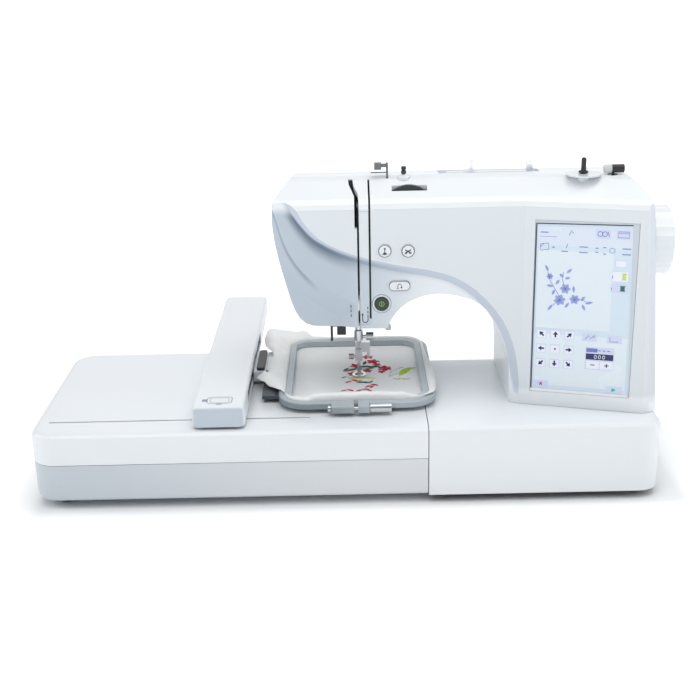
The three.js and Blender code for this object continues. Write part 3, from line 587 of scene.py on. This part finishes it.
# ------------------------------------------------------------------ head graphics
def head_details(mats, ink):
    cap_y, low_cap_y = FACE_Y - BUTTON_PROUD, LOW_FACE_Y - BUTTON_PROUD

    up = Sketch(on_front(cap_y), FRONT)
    x, z = 38.1, 259.0
    up.ring(x, z, 6.3, 0.6)
    up.disc(x, z + 2.6, 1.0, 12)
    up.line(x, z - 3.0, x, z + 2.6, 0.8)
    up.poly([(x - 2.0, z - 1.6), (x, z - 4.4), (x + 2.0, z - 1.6)])
    up.line(x - 2.6, z - 3.2, x + 2.6, z - 3.2, 0.8)
    up.make("needle_button_icon", ink, "needle_button")

    cut = Sketch(on_front(cap_y), FRONT)
    x, z = 62.2, 258.5
    cut.ring(x, z, 6.3, 0.6)
    cut.line(x - 3.2, z + 1.8, x + 2.2, z - 1.6, 1.1)
    cut.line(x - 2.2, z - 1.6, x + 3.2, z + 1.8, 1.1)
    cut.ring(x - 2.3, z - 1.8, 0.9, 0.7, 14)
    cut.ring(x + 2.3, z - 1.8, 0.9, 0.7, 14)
    cut.make("cutter_button_icon", ink, "cutter_button")

    back = Sketch(on_front(low_cap_y), FRONT)
    x, z = 53.4, 219.8
    oval = [(x + 5.9 * (1 if math.cos(t) > 0 else -1) + 5.0 * math.cos(t), z + 5.0 * math.sin(t))
            for t in [2 * math.pi * (i + 0.5) / 32 for i in range(32)]]
    back.path(oval, 0.55, True)
    arch = [(x - 1.9, z - 2.6)] + [(x + 1.9 * math.cos(t), z + 0.4 + 1.9 * math.sin(t))
                                  for t in [math.pi * (1 - i / 8) for i in range(9)]] + [(x + 1.9, z - 1.0)]
    back.path(arch, 0.6)
    back.poly([(x + 0.7, z - 0.9), (x + 1.9, z - 2.9), (x + 3.1, z - 0.9)])
    back.line(x - 3.0, z - 2.7, x - 0.9, z - 2.7, 0.5)
    back.make("lock_button_icon", ink, "lock_button")

    x, z = 34.5, 200.4
    mark = Sketch(on_front(low_cap_y), FRONT)
    mark.ring(x, z + 0.2, 2.5, 0.5, 18)
    mark.line(x, z - 1.6, x, z + 2.0, 0.6)
    mark.make("start_button_icon", surface("button_mark", (0.30, 0.52, 0.10), 0.4), "start_button")

    rim = bmesh.new()
    steps, around = 8, 44
    loops = []
    for i in range(around):
        t = 2 * math.pi * i / around
        ring = []
        for k in range(steps):
            s = 2 * math.pi * k / steps
            r = 8.7 + 0.9 * math.cos(s)
            y = LOW_FACE_Y - 0.2 - 0.8 * math.sin(s)
            ring.append(rim.verts.new(at(x + r * math.cos(t), y, z + r * math.sin(t))))
        loops.append(ring)
    for i in range(around):
        for k in range(steps):
            a, b = loops[i], loops[(i + 1) % around]
            rim.faces.new((a[k], a[(k + 1) % steps], b[(k + 1) % steps], b[k]))
    add_mesh("start_button_rim", rim, mats["trim"], "machine", True)
    # dark ring just round the rim: painted shade
    shade = Sketch(on_front(LOW_FACE_Y), FRONT, 0.1)
    shade.ring(x, z, 10.0, 0.5, 44)

    guide = Sketch(on_front(LOW_FACE_Y), FRONT)
    for b in (198.0, 193.0, 188.0):
        guide.line(2.0, b - 1.5, 2.0, b + 1.8, 0.9)
    for b in (196.0, 191.5):
        guide.line(19.8, b - 1.4, 19.8, b + 1.5, 0.9)
    half_turn = [math.pi * (1 + i / 8) for i in range(9)]
    bend = [(17.0 + 2.8 * math.cos(t), 182.6 + 2.8 * math.sin(t)) for t in half_turn]
    guide.path([(14.2, 189.0), (14.2, 183.2)] + bend + [(19.8, 188.6)], 0.9)
    guide.poly([(12.9, 188.0), (15.5, 188.0), (14.2, 190.4)])
    guide.make("thread_guide_marks", ink, "machine")
    shade.make("start_button_shade_ring", surface("outline", (0.10, 0.11, 0.12), 0.5), "machine")


def channel_shade_sheets(mats):
    """Black sheets inside the threading channels: painted shade for their depth."""
    bm = bmesh.new()
    add_box(bm, 17, 28, 71.5, 73, 176, 300)
    add_box(bm, 17, 28, 95.1, 95.8, 290, 326.6)
    add_box(bm, -2, 14.5, 96.1, 96.8, 296, 326.4)
    add_box(bm, 4, 8.9, 121, 122, 262, 316)
    add_box(bm, 12.6, 15, 121, 122, 180, 316)
    add_mesh("channel_painted_shade", bm, mats["dark"], "machine")

    knob = bmesh.new()
    bmesh.ops.create_cone(knob, cap_ends=True, segments=20, radius1=0.0031, radius2=0.0026, depth=0.006,
                          matrix=Matrix.Translation(at(41.5, 76, 171.2)))
    o = add_mesh("cutter_knob", knob, mats["grey"], "machine", True)
    bevel = o.modifiers.new("bevel", "BEVEL")
    bevel.width = 0.0007
    bevel.segments = 2
    bevel.limit_method = "ANGLE"


# ------------------------------------------------------------------ screen
def panel_point(u, z, deep):
    c, s = math.cos(PANEL_TURN), math.sin(PANEL_TURN)
    return at(PANEL_X + u * c - deep * s, PANEL_Y + u * s + deep * c, z)


def screen_face():
    """Depth of the glass behind the panel's face, in millimetres."""
    c, s = math.cos(PANEL_TURN), math.sin(PANEL_TURN)
    deep = []
    for v in NODES["touch_screen"].data.vertices:
        p = (NODES["touch_screen"].matrix_world @ v.co - ORIGIN) * 1000
        deep.append(-(p.x - PANEL_X) * s + (p.y - PANEL_Y) * c)
    return min(deep)


def screen_graphics():
    c, s = math.cos(PANEL_TURN), math.sin(PANEL_TURN)
    normal = Vector((s, -c, 0))
    deep = screen_face()
    left, top = 12.9, 285.2

    class Page(Sketch):
        """A sketch in display millimetres from the top left corner."""
        def __init__(self, lift):
            def place(a, b):
                return panel_point(left + a * 0.955, top - b * 0.963, deep - lift)

            Sketch.__init__(self, place, normal, 0.06)

    def paint(name, colour, glow=0.10):
        return surface(name, tuple(0.9 * c for c in colour), 0.25, spread=0.03, glow=glow)

    page = Page(0.05)
    page.rect(51.8, 13, 101, 21)
    page.make("ui_header", paint("ui_header", (0.72, 0.79, 0.90)), "machine", "glass")
    page = Page(0.05)
    page.rect(42, 72, 80, 88)
    page.rect(51.8, 153, 100, 60)
    page.make("ui_canvas", paint("ui_canvas", (0.76, 0.84, 0.90)), "machine", "glass")

    tiles = Page(0.13)
    for a, b, w, h in ((70, 8.5, 16, 10), (91, 8.5, 15, 10), (90, 40, 12, 8), (90, 54, 18, 12),
                       (90, 67, 18, 10), (61, 124, 16, 9), (88, 125, 16, 9), (73, 148, 31, 26),
                       (10, 182, 16, 8), (90, 183, 18, 8)):
        tiles.rect(a, b, w, h)
    grid = [(9 + 15.2 * i, 123 + 17 * j) for i in range(3) for j in range(3)]
    for a, b in grid:
        tiles.rect(a, b, 11, 10.5)
    tiles.make("ui_tiles", paint("ui_tiles", (0.66, 0.71, 0.90)), "machine", "glass")

    face = Page(0.21)
    for a, b, w, h in ((90, 40, 10.6, 6.6), (90, 54, 16.6, 10.6), (66, 155.6, 14, 9), (81, 155.6, 14, 9)):
        face.rect(a, b, w, h)
    for a, b in grid:
        face.rect(a, b + 0.4, 9.4, 8.6)
    face.make("ui_faces", paint("ui_faces", (0.84, 0.87, 0.97)), "machine", "glass")

    navy = Page(0.29)
    for (a, b), (da, db) in zip(grid, [(da, db) for da in (-1, 0, 1) for db in (-1, 0, 1)]):
        if da or db:
            navy.arrow(a, b, da, db, 3.4, 1.9)
        else:
            navy.disc(a, b, 1.1, 12)
    navy.rect(73, 146, 29.6, 6.8)
    navy.line(63.4, 155.6, 68.2, 155.6, 1.0)
    navy.line(78.6, 155.6, 83.4, 155.6, 1.0)
    navy.line(81, 153.2, 81, 158, 1.0)
    navy.make("ui_navy", paint("ui_navy", (0.018, 0.022, 0.12), 0.0), "machine", "dark")

    blue = Page(0.29)
    blue.rect(64.5, 138.6, 12, 4.4)
    for a in (72.5, 77.5, 82.5):
        blue.rect(a, 138.6, 3.2, 1.0)
    blue.ring(66.6, 8.4, 2.6, 0.7, 16)
    blue.ring(71.4, 8.4, 2.6, 0.7, 16)
    blue.line(74.5, 5.6, 76.2, 11, 0.7)
    blue.path([(85.4, 5.2), (96.6, 5.2), (96.6, 11.6), (85.4, 11.6)], 0.6, True)
    blue.line(85.4, 7.0, 96.6, 7.0, 0.5)
    blue.path([(4.0, 22.0), (12.5, 20.6), (13.2, 27.6), (4.4, 29.0)], 0.6, True)
    blue.line(4.2, 25.0, 8.0, 21.4, 0.5)
    blue.rect(8, 9, 8, 1.0)
    blue.rect(18.0, 25, 2.6, 1.0)
    blue.path([(34.2, 11.4), (36.6, 6.0), (38.6, 9.0)], 0.6)
    for a, b, w in ((30, 29, 7), (50, 23.4, 9), (50, 29.4, 9), (64, 24, 3), (64, 28.4, 3), (72, 23, 3),
                    (72, 30, 3), (95, 23.4, 9), (95, 29.6, 9)):
        blue.rect(a, b, w, 0.9)
    blue.line(33, 20.6, 31.6, 25.4, 0.6)
    blue.ring(80, 26, 2.8, 0.4, 16)
    blue.line(82, 53, 82, 56.4, 0.6)
    blue.line(81.4, 66, 81.4, 69, 0.6)
    blue.path([(56.5, 126.4), (60, 121.8), (62.6, 125.6), (66, 121.4)], 0.6)
    blue.line(66, 121.4, 66, 124.4, 0.6)
    blue.path([(83, 122.6), (83, 127.4), (92, 127.4)], 0.6)
    blue.rect(12, 13.6, 18, 0.3)
    blue.make("ui_blue", paint("ui_blue", (0.16, 0.20, 0.52)), "machine", "glass")

    digits = Page(0.37)
    for a in (68.6, 73.0, 77.4):
        digits.ring(a, 146, 1.25, 0.55, 14, 1.9)
    digits.make("ui_digits", paint("ui_digits", (0.85, 0.88, 0.95), 0.2), "machine", "glass")

    violet = Page(0.21)
    deepv = Page(0.29)
    for a, b, angle, length in ((12, 48.5, 1.1, 8), (36, 50.5, 2.4, 8), (34.5, 58.5, 2.9, 6),
                                (24, 63.5, 2.2, 7), (16, 68, 0.1, 8), (20, 75, 2.0, 7), (41.5, 70.5, 1.5, 8),
                                (28, 56, 0.7, 6), (17, 92.5, 2.2, 9), (35, 89, 2.2, 8), (52, 80.5, 2.3, 7),
                                (58.5, 85, 2.9, 9), (53, 90.5, 1.1, 8)):
        violet.leaf(a, b, angle, length, 3.2)
        deepv.line(a - math.cos(angle) * length * 0.3, b - math.sin(angle) * length * 0.3,
                   a + math.cos(angle) * length * 0.3, b + math.sin(angle) * length * 0.3, 0.4)
    for a, b, r in ((15.5, 57.5, 3.6), (32.5, 70.5, 5.6), (27, 83.5, 6.2), (43, 82, 5.4)):
        for k in range(6):
            t = k * math.pi / 3 + a
            violet.leaf(a + 0.55 * r * math.cos(t), b + 0.55 * r * math.sin(t), t, r * 1.1, r * 0.75)
            deepv.line(a + 0.2 * r * math.cos(t), b + 0.2 * r * math.sin(t), a + 0.6 * r * math.cos(t),
                       b + 0.6 * r * math.sin(t), 0.35)
        deepv.disc(a, b, r * 0.2, 10)
    for pts in (((13, 52), (16, 62), (22, 72), (27, 80)), ((30, 52), (29, 60), (31, 66)),
                ((44, 80), (50, 82), (56, 84)), ((20, 90), (24, 86), (28, 84))):
        deepv.path(pts, 0.5)
    violet.make("ui_flower", paint("ui_flower", (0.36, 0.42, 0.80)), "machine", "glass")
    deepv.make("ui_flower_lines", paint("ui_flower_lines", (0.17, 0.20, 0.55)), "machine", "glass")

    for name, colour, shapes in (
            ("ui_lime", (0.55, 0.75, 0.02), ((94, 54, 3.4, 6.4),)),
            ("ui_teal", (0.01, 0.16, 0.13), ((93, 67, 4.4, 5.2),))):
        spot = Page(0.37)
        for a, b, w, h in shapes:
            spot.rect(a, b, w, h)
            spot.rect(a, b - h / 2, w + 1.2, 0.8)
            spot.rect(a, b + h / 2, w + 1.2, 0.8)
        spot.make(name, paint(name, colour), "machine", "glass")
    red = Page(0.29)
    red.line(8.6, 180.4, 11.6, 183.4, 1.1)
    red.line(8.6, 183.4, 11.6, 180.4, 1.1)
    red.make("ui_red", paint("ui_red", (0.62, 0.01, 0.07)), "machine", "glass")
    green = Page(0.29)
    green.poly([(88, 180.8), (88, 185.6), (92.6, 183.2)])
    green.make("ui_green", paint("ui_green", (0.01, 0.55, 0.12)), "machine", "green")

    def border(name, mat, kind, *outlines):
        part = Sketch(lambda a, b: panel_point(a, b, deep - 0.45), normal, 0.12)
        for outline in outlines:
            part.poly(outline)
        part.make(name, mat, "machine", kind)

    # Thin sheets round the glass for a recessed bevel: painted shadow along the top and left edges, painted
    # shade on the grey strips at the top and right, painted highlight along the bottom
    border("bezel_shadow", surface("bezel_dark", (0.05, 0.06, 0.10), 0.5), "dark",
           [(12.6, 285.0), (108.6, 286.6), (108.6, 287.8), (12.6, 286.2)],
           [(11.7, 104.4), (12.9, 104.4), (12.9, 285.6), (11.7, 285.6)])
    border("bezel_side_painted_shade", surface("bezel_grey", (0.60, 0.65, 0.70), 0.5), "grey",
           [(11.4, 286.2), (115.0, 287.9), (115.0, 289.1), (11.4, 289.1)],
           [(113.9, 102.0), (115.0, 102.0), (115.0, 287.9), (108.6, 287.4)])
    border("bezel_painted_highlight", surface("bezel_white", (0.90, 0.91, 0.92), 0.3), "shell",
           [(11.4, 101.4), (115.0, 101.4), (115.0, 104.0), (11.4, 104.6)])


# ------------------------------------------------------------------ fabric and embroidery
def hoop_loop(half_x, half_y, r, n):
    """Points and outward normals spaced evenly round a rounded rectangle, from the front middle."""
    cx, cy = half_x - r, half_y - r
    arc = math.pi * r / 2
    pieces = (("line", cx, (0, -half_y, 1, 0)), ("arc", arc, (cx, -cy, -90)),
              ("line", 2 * cy, (half_x, -cy, 0, 1)), ("arc", arc, (cx, cy, 0)),
              ("line", 2 * cx, (cx, half_y, -1, 0)), ("arc", arc, (-cx, cy, 90)),
              ("line", 2 * cy, (-half_x, cy, 0, -1)), ("arc", arc, (-cx, -cy, 180)),
              ("line", cx, (-cx, -half_y, 1, 0)))
    total = sum(length for _, length, _ in pieces)
    result = []
    for i in range(n):
        d = total * i / n
        for kind, length, data in pieces:
            if d <= length + 1e-9:
                break
            d -= length
        if kind == "line":
            x0, y0, dx, dy = data
            result.append((x0 + dx * d, y0 + dy * d, dy, -dx))
        else:
            ax, ay, start = data
            t = math.radians(start) + d / r
            result.append((ax + r * math.cos(t), ay + r * math.sin(t), math.cos(t), math.sin(t)))
    return result


# Free edge of the cloth left of the hoop, in front and behind: angle round the hoop, x, y.
EDGE_IN_FRONT = [(-180, -94, 152), (-174, -94.5, 134), (-170, -107.5, 128.5), (-163, -102, 114),
                 (-154, -90, 99), (-146, -80, 86), (-139, -72, 74), (-130, -60, 62), (-122, -46, 60)]
EDGE_BEHIND = [(122, -46, 258), (130, -60, 280), (136, -80, 293), (143, -103, 296), (149, -105, 258),
               (154, -103, 232), (158, -92, 208), (164, -91, 186), (172, -93.5, 166), (180, -94, 152)]
# Reach outwards elsewhere: angle, millimetres. Inward reach is a fold over the inner ring.
REACH = [(-122, -11), (-112, -12.3), (-70, -12.3), (-60, -12), (-50, -4), (-40, 6), (-28, 9.5), (-8, 9),
         (8, 6.5), (30, 3), (90, 1.5), (110, 2), (122, 9)]
# What stands up left of the hoop, as x0, x1, y0, y1, top: two steps of the bracket, the carriage, the lever.
PLATES = ((-99, -77, 100, 202, 94.0), (-102, -83, 142, 191, 99.6), (-112.5, -96, 132, 201, 101.6),
          (-108.8, -96.4, 134, 198, 105.7))


def between(table, angle):
    for a, b in zip(table, table[1:]):
        if a[0] <= angle <= b[0]:
            t = (angle - a[0]) / (b[0] - a[0])
            return [p + (q - p) * t for p, q in zip(a[1:], b[1:])]
    return None


def under_cloth(x, y):
    """Height of what the cloth lies on outside the hoop."""
    dx, dy = abs(x - HOOP_X), abs(y - HOOP_Y)
    z = RING_TOP if dx < 88 and dy < 107.5 else BED_TOP
    for x0, x1, y0, y1, top in PLATES:
        if x0 < x < x1 and y0 < y < y1:
            z = max(z, top)
    return z


def over_cloth(x, y):
    """Height that the cloth stays under, where the lock lever swings over it."""
    return LEVER_CLEAR if x > -98 and 130 < y < 204 else math.inf


def fold_path(t, lift):
    """Outward distance and height of the front fold, from the gap over the inner ring to the work."""
    points = ((0.0, 0.0, 98.0), (0.12, 0.6, 100.5), (0.28, 0.2, 103.0), (0.42, -2.5, 104.8),
              (0.58, -6.5, 104.2), (0.75, -10.5, 100.5), (0.9, -13.0, 95.0), (1.0, -15.0, 91.6))
    d, z = between(points, t)
    return d, z + lift * math.sin(math.pi * min(1.0, 1.2 * t))


def cloth_columns(edge):
    """The free cloth outside the hoop, as columns of points from the gap to the free edge."""
    n = len(edge)
    columns, fixed = [], []
    for i, (ex, ey, nx, ny) in enumerate(edge):
        angle = math.degrees(math.atan2(ey / 98.6, ex / 79.0))
        turn = i / n * 2 * math.pi
        wavy = noise.noise(Vector((math.cos(turn) * 5, math.sin(turn) * 5, 0.3)))
        fine = noise.noise(Vector((math.cos(turn) * 15, math.sin(turn) * 15, 1.3)))
        x0, y0 = HOOP_X + ex, HOOP_Y + ey
        free = between(EDGE_IN_FRONT if angle < 0 else EDGE_BEHIND, angle)
        reach = (between(REACH, angle) or [0])[0]
        column, folded = [], free is None and reach < -1
        for k in range(1, FLAP + 1):
            t = k / FLAP
            if folded:
                d, z = fold_path(t, 1.3 * wavy + 1.1 * fine)
                d *= -reach / 15
                z = 98.2 + (z - 98.2) * min(1.0, -reach / 12) if z > 98.2 else z
                x, y = x0 + nx * (d + 0.8 * fine * t), y0 + ny * (d + 0.8 * fine * t)
                z = max(z, 98.7) if d > -9 else z
            elif free:
                x, y = x0 + (free[0] + 1.0 * fine - x0) * t, y0 + (free[1] + 2.4 * fine - y0) * t
                span = math.hypot(free[0] - x0, free[1] - y0)
                z = 98.6 + min(span, 30) / 30 * (6.0 * math.sin(math.pi * min(1.0, 0.75 * t)) - 7.0 * t ** 3)
                z += (2.2 * math.sin(turn * 19 + 2 * wavy) + 2.2 * fine) * t * min(1.0, span / 25)
            else:
                d = reach * t
                x, y = x0 + nx * d, y0 + ny * d
                z = 98.6 + 1.5 * math.sin(math.pi * t) + (1.2 * fine + 0.6 * wavy) * t
            level = z if folded else max(z, under_cloth(x, y) + 0.5)
            column.append([max(x, CLOTH_LEFT), y, min(level, over_cloth(x, y))])
        columns.append(column)
        fixed.append(folded)
    for _ in range(5):  # lets the cloth bridge the steps that it lies on
        for i in range(n):
            if fixed[i]:
                continue
            for k in range(FLAP):
                here = columns[i][k]
                near = (columns[i - 1][k], columns[(i + 1) % n][k], columns[i][max(0, k - 1)],
                        columns[i][min(FLAP - 1, k + 1)])
                level = 0.4 * here[2] + 0.15 * sum(p[2] for p in near)
                level = max(under_cloth(here[0], here[1]) + 0.5, level)
                here[2] = min(level, over_cloth(here[0], here[1]))
    return columns


def make_fabric(mats):
    edge = hoop_loop(WORK_HALF_X, WORK_HALF_Y, WORK_CORNER, ROUND)
    bm = bmesh.new()
    centre = bm.verts.new(at(HOOP_X, HOOP_Y, CLOTH_Z))
    rows = []
    for k in range(1, INSIDE + 1):
        f = (k / INSIDE) ** 0.85
        row = []
        for ex, ey, _, _ in edge:
            x, y = HOOP_X + ex * f, HOOP_Y + ey * f
            ripple = noise.noise(Vector((x * 0.03, y * 0.09, 2.0))) * (1 - f ** 6)
            row.append(bm.verts.new(at(x, y, CLOTH_Z + 0.05 * ripple)))
        rows.append(row)
    for z in (92.5, 95.5, 98.0):
        rows.append([bm.verts.new(at(HOOP_X + ex, HOOP_Y + ey, z)) for ex, ey, _, _ in edge])
    columns = cloth_columns(edge)
    for k in range(FLAP):
        rows.append([bm.verts.new(at(*column[k])) for column in columns])
    for i in range(ROUND):
        j = (i + 1) % ROUND
        bm.faces.new((centre, rows[0][i], rows[0][j]))
        for a, b in zip(rows, rows[1:]):
            bm.faces.new((a[i], b[i], b[j], a[j]))
    area = sum(f.calc_area() for f in bm.faces)
    o = add_mesh("fabric", bm, mats["cloth"], "hoop", True)
    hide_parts("hooped_fabric")
    thick = o.modifiers.new("thickness", "SOLIDIFY")
    thick.thickness = 0.0004
    thick.offset = 0
    return o, area


def stitches(bm, points, width=0.75, height=0.4, z=CLOTH_Z + 0.35):
    """One raised thread from point to point."""
    (ax, ay), (bx, by) = points
    length = math.hypot(bx - ax, by - ay)
    if length < 0.3:
        return
    ux, uy = (bx - ax) / length, (by - ay) / length
    low, top = [], []
    for t, w, h in ((0.0, 0.25, 0.1), (0.25, 1.0, 1.0), (0.75, 1.0, 1.0), (1.0, 0.25, 0.1)):
        x, y = ax + ux * length * t, ay + uy * length * t
        low.append((bm.verts.new(at(x - uy * width / 2 * w, y + ux * width / 2 * w, z - 0.15)),
                    bm.verts.new(at(x + uy * width / 2 * w, y - ux * width / 2 * w, z - 0.15))))
        top.append(bm.verts.new(at(x, y, z + height * h)))
    for k in range(3):
        bm.faces.new((low[k][0], top[k], top[k + 1], low[k + 1][0]))
        bm.faces.new((top[k], low[k][1], low[k + 1][1], top[k + 1]))


def fill_leaf(bm, x, y, angle, length, width, pitch=0.55, bend=0.0):
    """Satin stitches across a pointed petal or leaf."""
    ca, sa = math.cos(angle), math.sin(angle)
    steps = max(3, int(length / pitch))
    for i in range(steps + 1):
        t = i / steps
        half = width / 2 * math.sin(math.pi * min(0.98, max(0.02, t))) ** 0.7
        u = length * (t - 0.5)
        curve = bend * math.sin(math.pi * t)
        jitter = rng.uniform(-0.15, 0.15)
        ends = []
        for side in (-1, 1):
            v = side * (half + jitter) + curve
            uu = u + side * half * 0.35
            ends.append((x + uu * ca - v * sa, y + uu * sa + v * ca))
        stitches(bm, ends)


def blossom(bm, x, y, r, petals=5, start=0.0):
    for k in range(petals):
        t = start + 2 * math.pi * k / petals
        fill_leaf(bm, x + 0.6 * r * math.cos(t), y + 0.6 * r * math.sin(t), t, r * 1.05, r * 0.85)


def make_embroidery():
    made = []

    def thread(name, colour):
        mat = surface(name, colour, 0.42, spread=0.18, bump=0.3, grain=1800, patch=160, sheen=0.4)
        bm = bmesh.new()
        return bm, mat

    red, red_mat = thread("thread_red", (0.62, 0.015, 0.07))
    green, green_mat = thread("thread_green", (0.02, 0.12, 0.07))
    teal, teal_mat = thread("thread_teal", (0.05, 0.36, 0.26))
    lime, lime_mat = thread("thread_lime", (0.55, 0.72, 0.03))
    pale, pale_mat = thread("thread_pale", (0.86, 0.86, 0.42))
    line, line_mat = thread("thread_grey", (0.36, 0.42, 0.40))

    blossom(red, 21, 203, 6.0, 5, 0.4)
    blossom(red, 27, 187, 7.0, 5, 0.0)
    blossom(red, 31, 177, 4.5, 5, 0.7)
    blossom(red, 40, 164, 7.5, 6, 0.5)
    blossom(red, 6.5, 174, 6.5, 5, 0.9)
    blossom(red, 3, 148, 6.0, 5, 0.2)
    blossom(red, 20, 157, 5.0, 5, 0.2)
    blossom(red, 36, 153, 4.0, 5, 1.0)
    fill_leaf(red, -4, 158, 0.3, 9, 4)
    for x, y, angle, length, width in ((2, 162, 0.5, 16, 7), (16, 171, 0.1, 15, 7), (27, 170, 0.1, 16, 7),
                                       (9, 151, -0.2, 16, 6), (17, 183, 1.3, 12, 5), (-5, 163, 0.9, 10, 4),
                                       (21, 164, 0.2, 13, 5), (11, 164, 1.6, 9, 5)):
        fill_leaf(green, x, y, angle, length, width)
    fill_leaf(lime, 63.5, 152, 1.05, 30, 9.5, bend=1.5)
    fill_leaf(lime, 71, 162, 0.4, 11, 5)
    fill_leaf(pale, 6, 134.5, -0.1, 20, 8)
    fill_leaf(pale, 22, 133.5, -0.15, 16, 6)
    fill_leaf(pale, 58, 130, -0.2, 14, 3.4)
    for x, y, angle, length, width in ((-2.5, 122.5, 0.55, 8, 4.4), (4.5, 126.5, -0.5, 8, 4.2),
                                       (9.5, 124.5, 0.4, 7, 3.6), (20, 107.5, 0.5, 9, 4.4),
                                       (26.5, 112, -0.5, 9, 4.2), (24, 106, 0.9, 7, 3.6),
                                       (-7.5, 96.5, 0.45, 8, 3.8), (-0.5, 97.0, -0.6, 8, 3.8),
                                       (9.5, 96.0, 0.55, 8, 3.8), (16.5, 98.8, -0.2, 8, 3.8),
                                       (20.5, 95.2, -0.9, 7, 3.4)):
        fill_leaf(red, x, y, angle, length, width, bend=0.6)
    fill_leaf(green, 12.5, 121, 0.1, 12, 4.4)
    fill_leaf(green, 17.5, 119.5, -0.3, 8, 3.6)
    fill_leaf(teal, 22.5, 121, 0.9, 9, 4.4)
    fill_leaf(teal, -8, 137, 0.7, 8, 3.0)

    def outline(points):
        for a, b in zip(points, points[1:]):
            stitches(line, (a, b), 0.7)

    outline([(44, 137), (45, 146), (49, 155), (55, 162), (62, 166)])
    outline([(44, 137), (50, 143), (56, 147)])
    outline([(56, 140), (59, 148), (64, 158), (68, 165)])
    outline([(48, 132), (53, 126.5), (58, 130), (63, 126.5), (68, 131)])
    for name, bm, mat in (("embroidery_red", red, red_mat), ("embroidery_green", green, green_mat),
                          ("embroidery_teal", teal, teal_mat), ("embroidery_lime", lime, lime_mat),
                          ("embroidery_pale", pale, pale_mat), ("embroidery_lines", line, line_mat)):
        made.append(add_mesh(name, bm, mat, "hoop"))
    return made


def arm_icon(ink):
    """A small outline of a hoop, moulded into the front of the arm's lid."""
    sign = Sketch(on_top(110.0), UP, 0.12)
    ring = [(-138 + 13 * x, 28 + 9 * y) for x, y, _, _ in hoop_loop(1, 1, 0.45, 28)]
    sign.path(ring, 0.9, True)
    sign.path([(-138 + 0.76 * (x + 138), 28 + 0.7 * (y - 28)) for x, y in ring], 0.5, True)
    sign.rect(-154, 28, 5, 6)
    sign.rect(-138, 17.4, 6, 2.2)
    sign.make("arm_icon", ink, "arm", "grey")


make_camera()
make_studio()
MATS = make_materials()
dress_cad(MATS)
INK = surface("ink", (0.035, 0.04, 0.05), 0.5, spread=0.1)
head_details(MATS, INK)
channel_shade_sheets(MATS)
screen_graphics()
fabric, cloth_area = make_fabric(MATS)
threads = make_embroidery()
print("cloth area", round(cloth_area, 5))
arm_icon(surface("icon_grey", (0.30, 0.33, 0.36), 0.5))
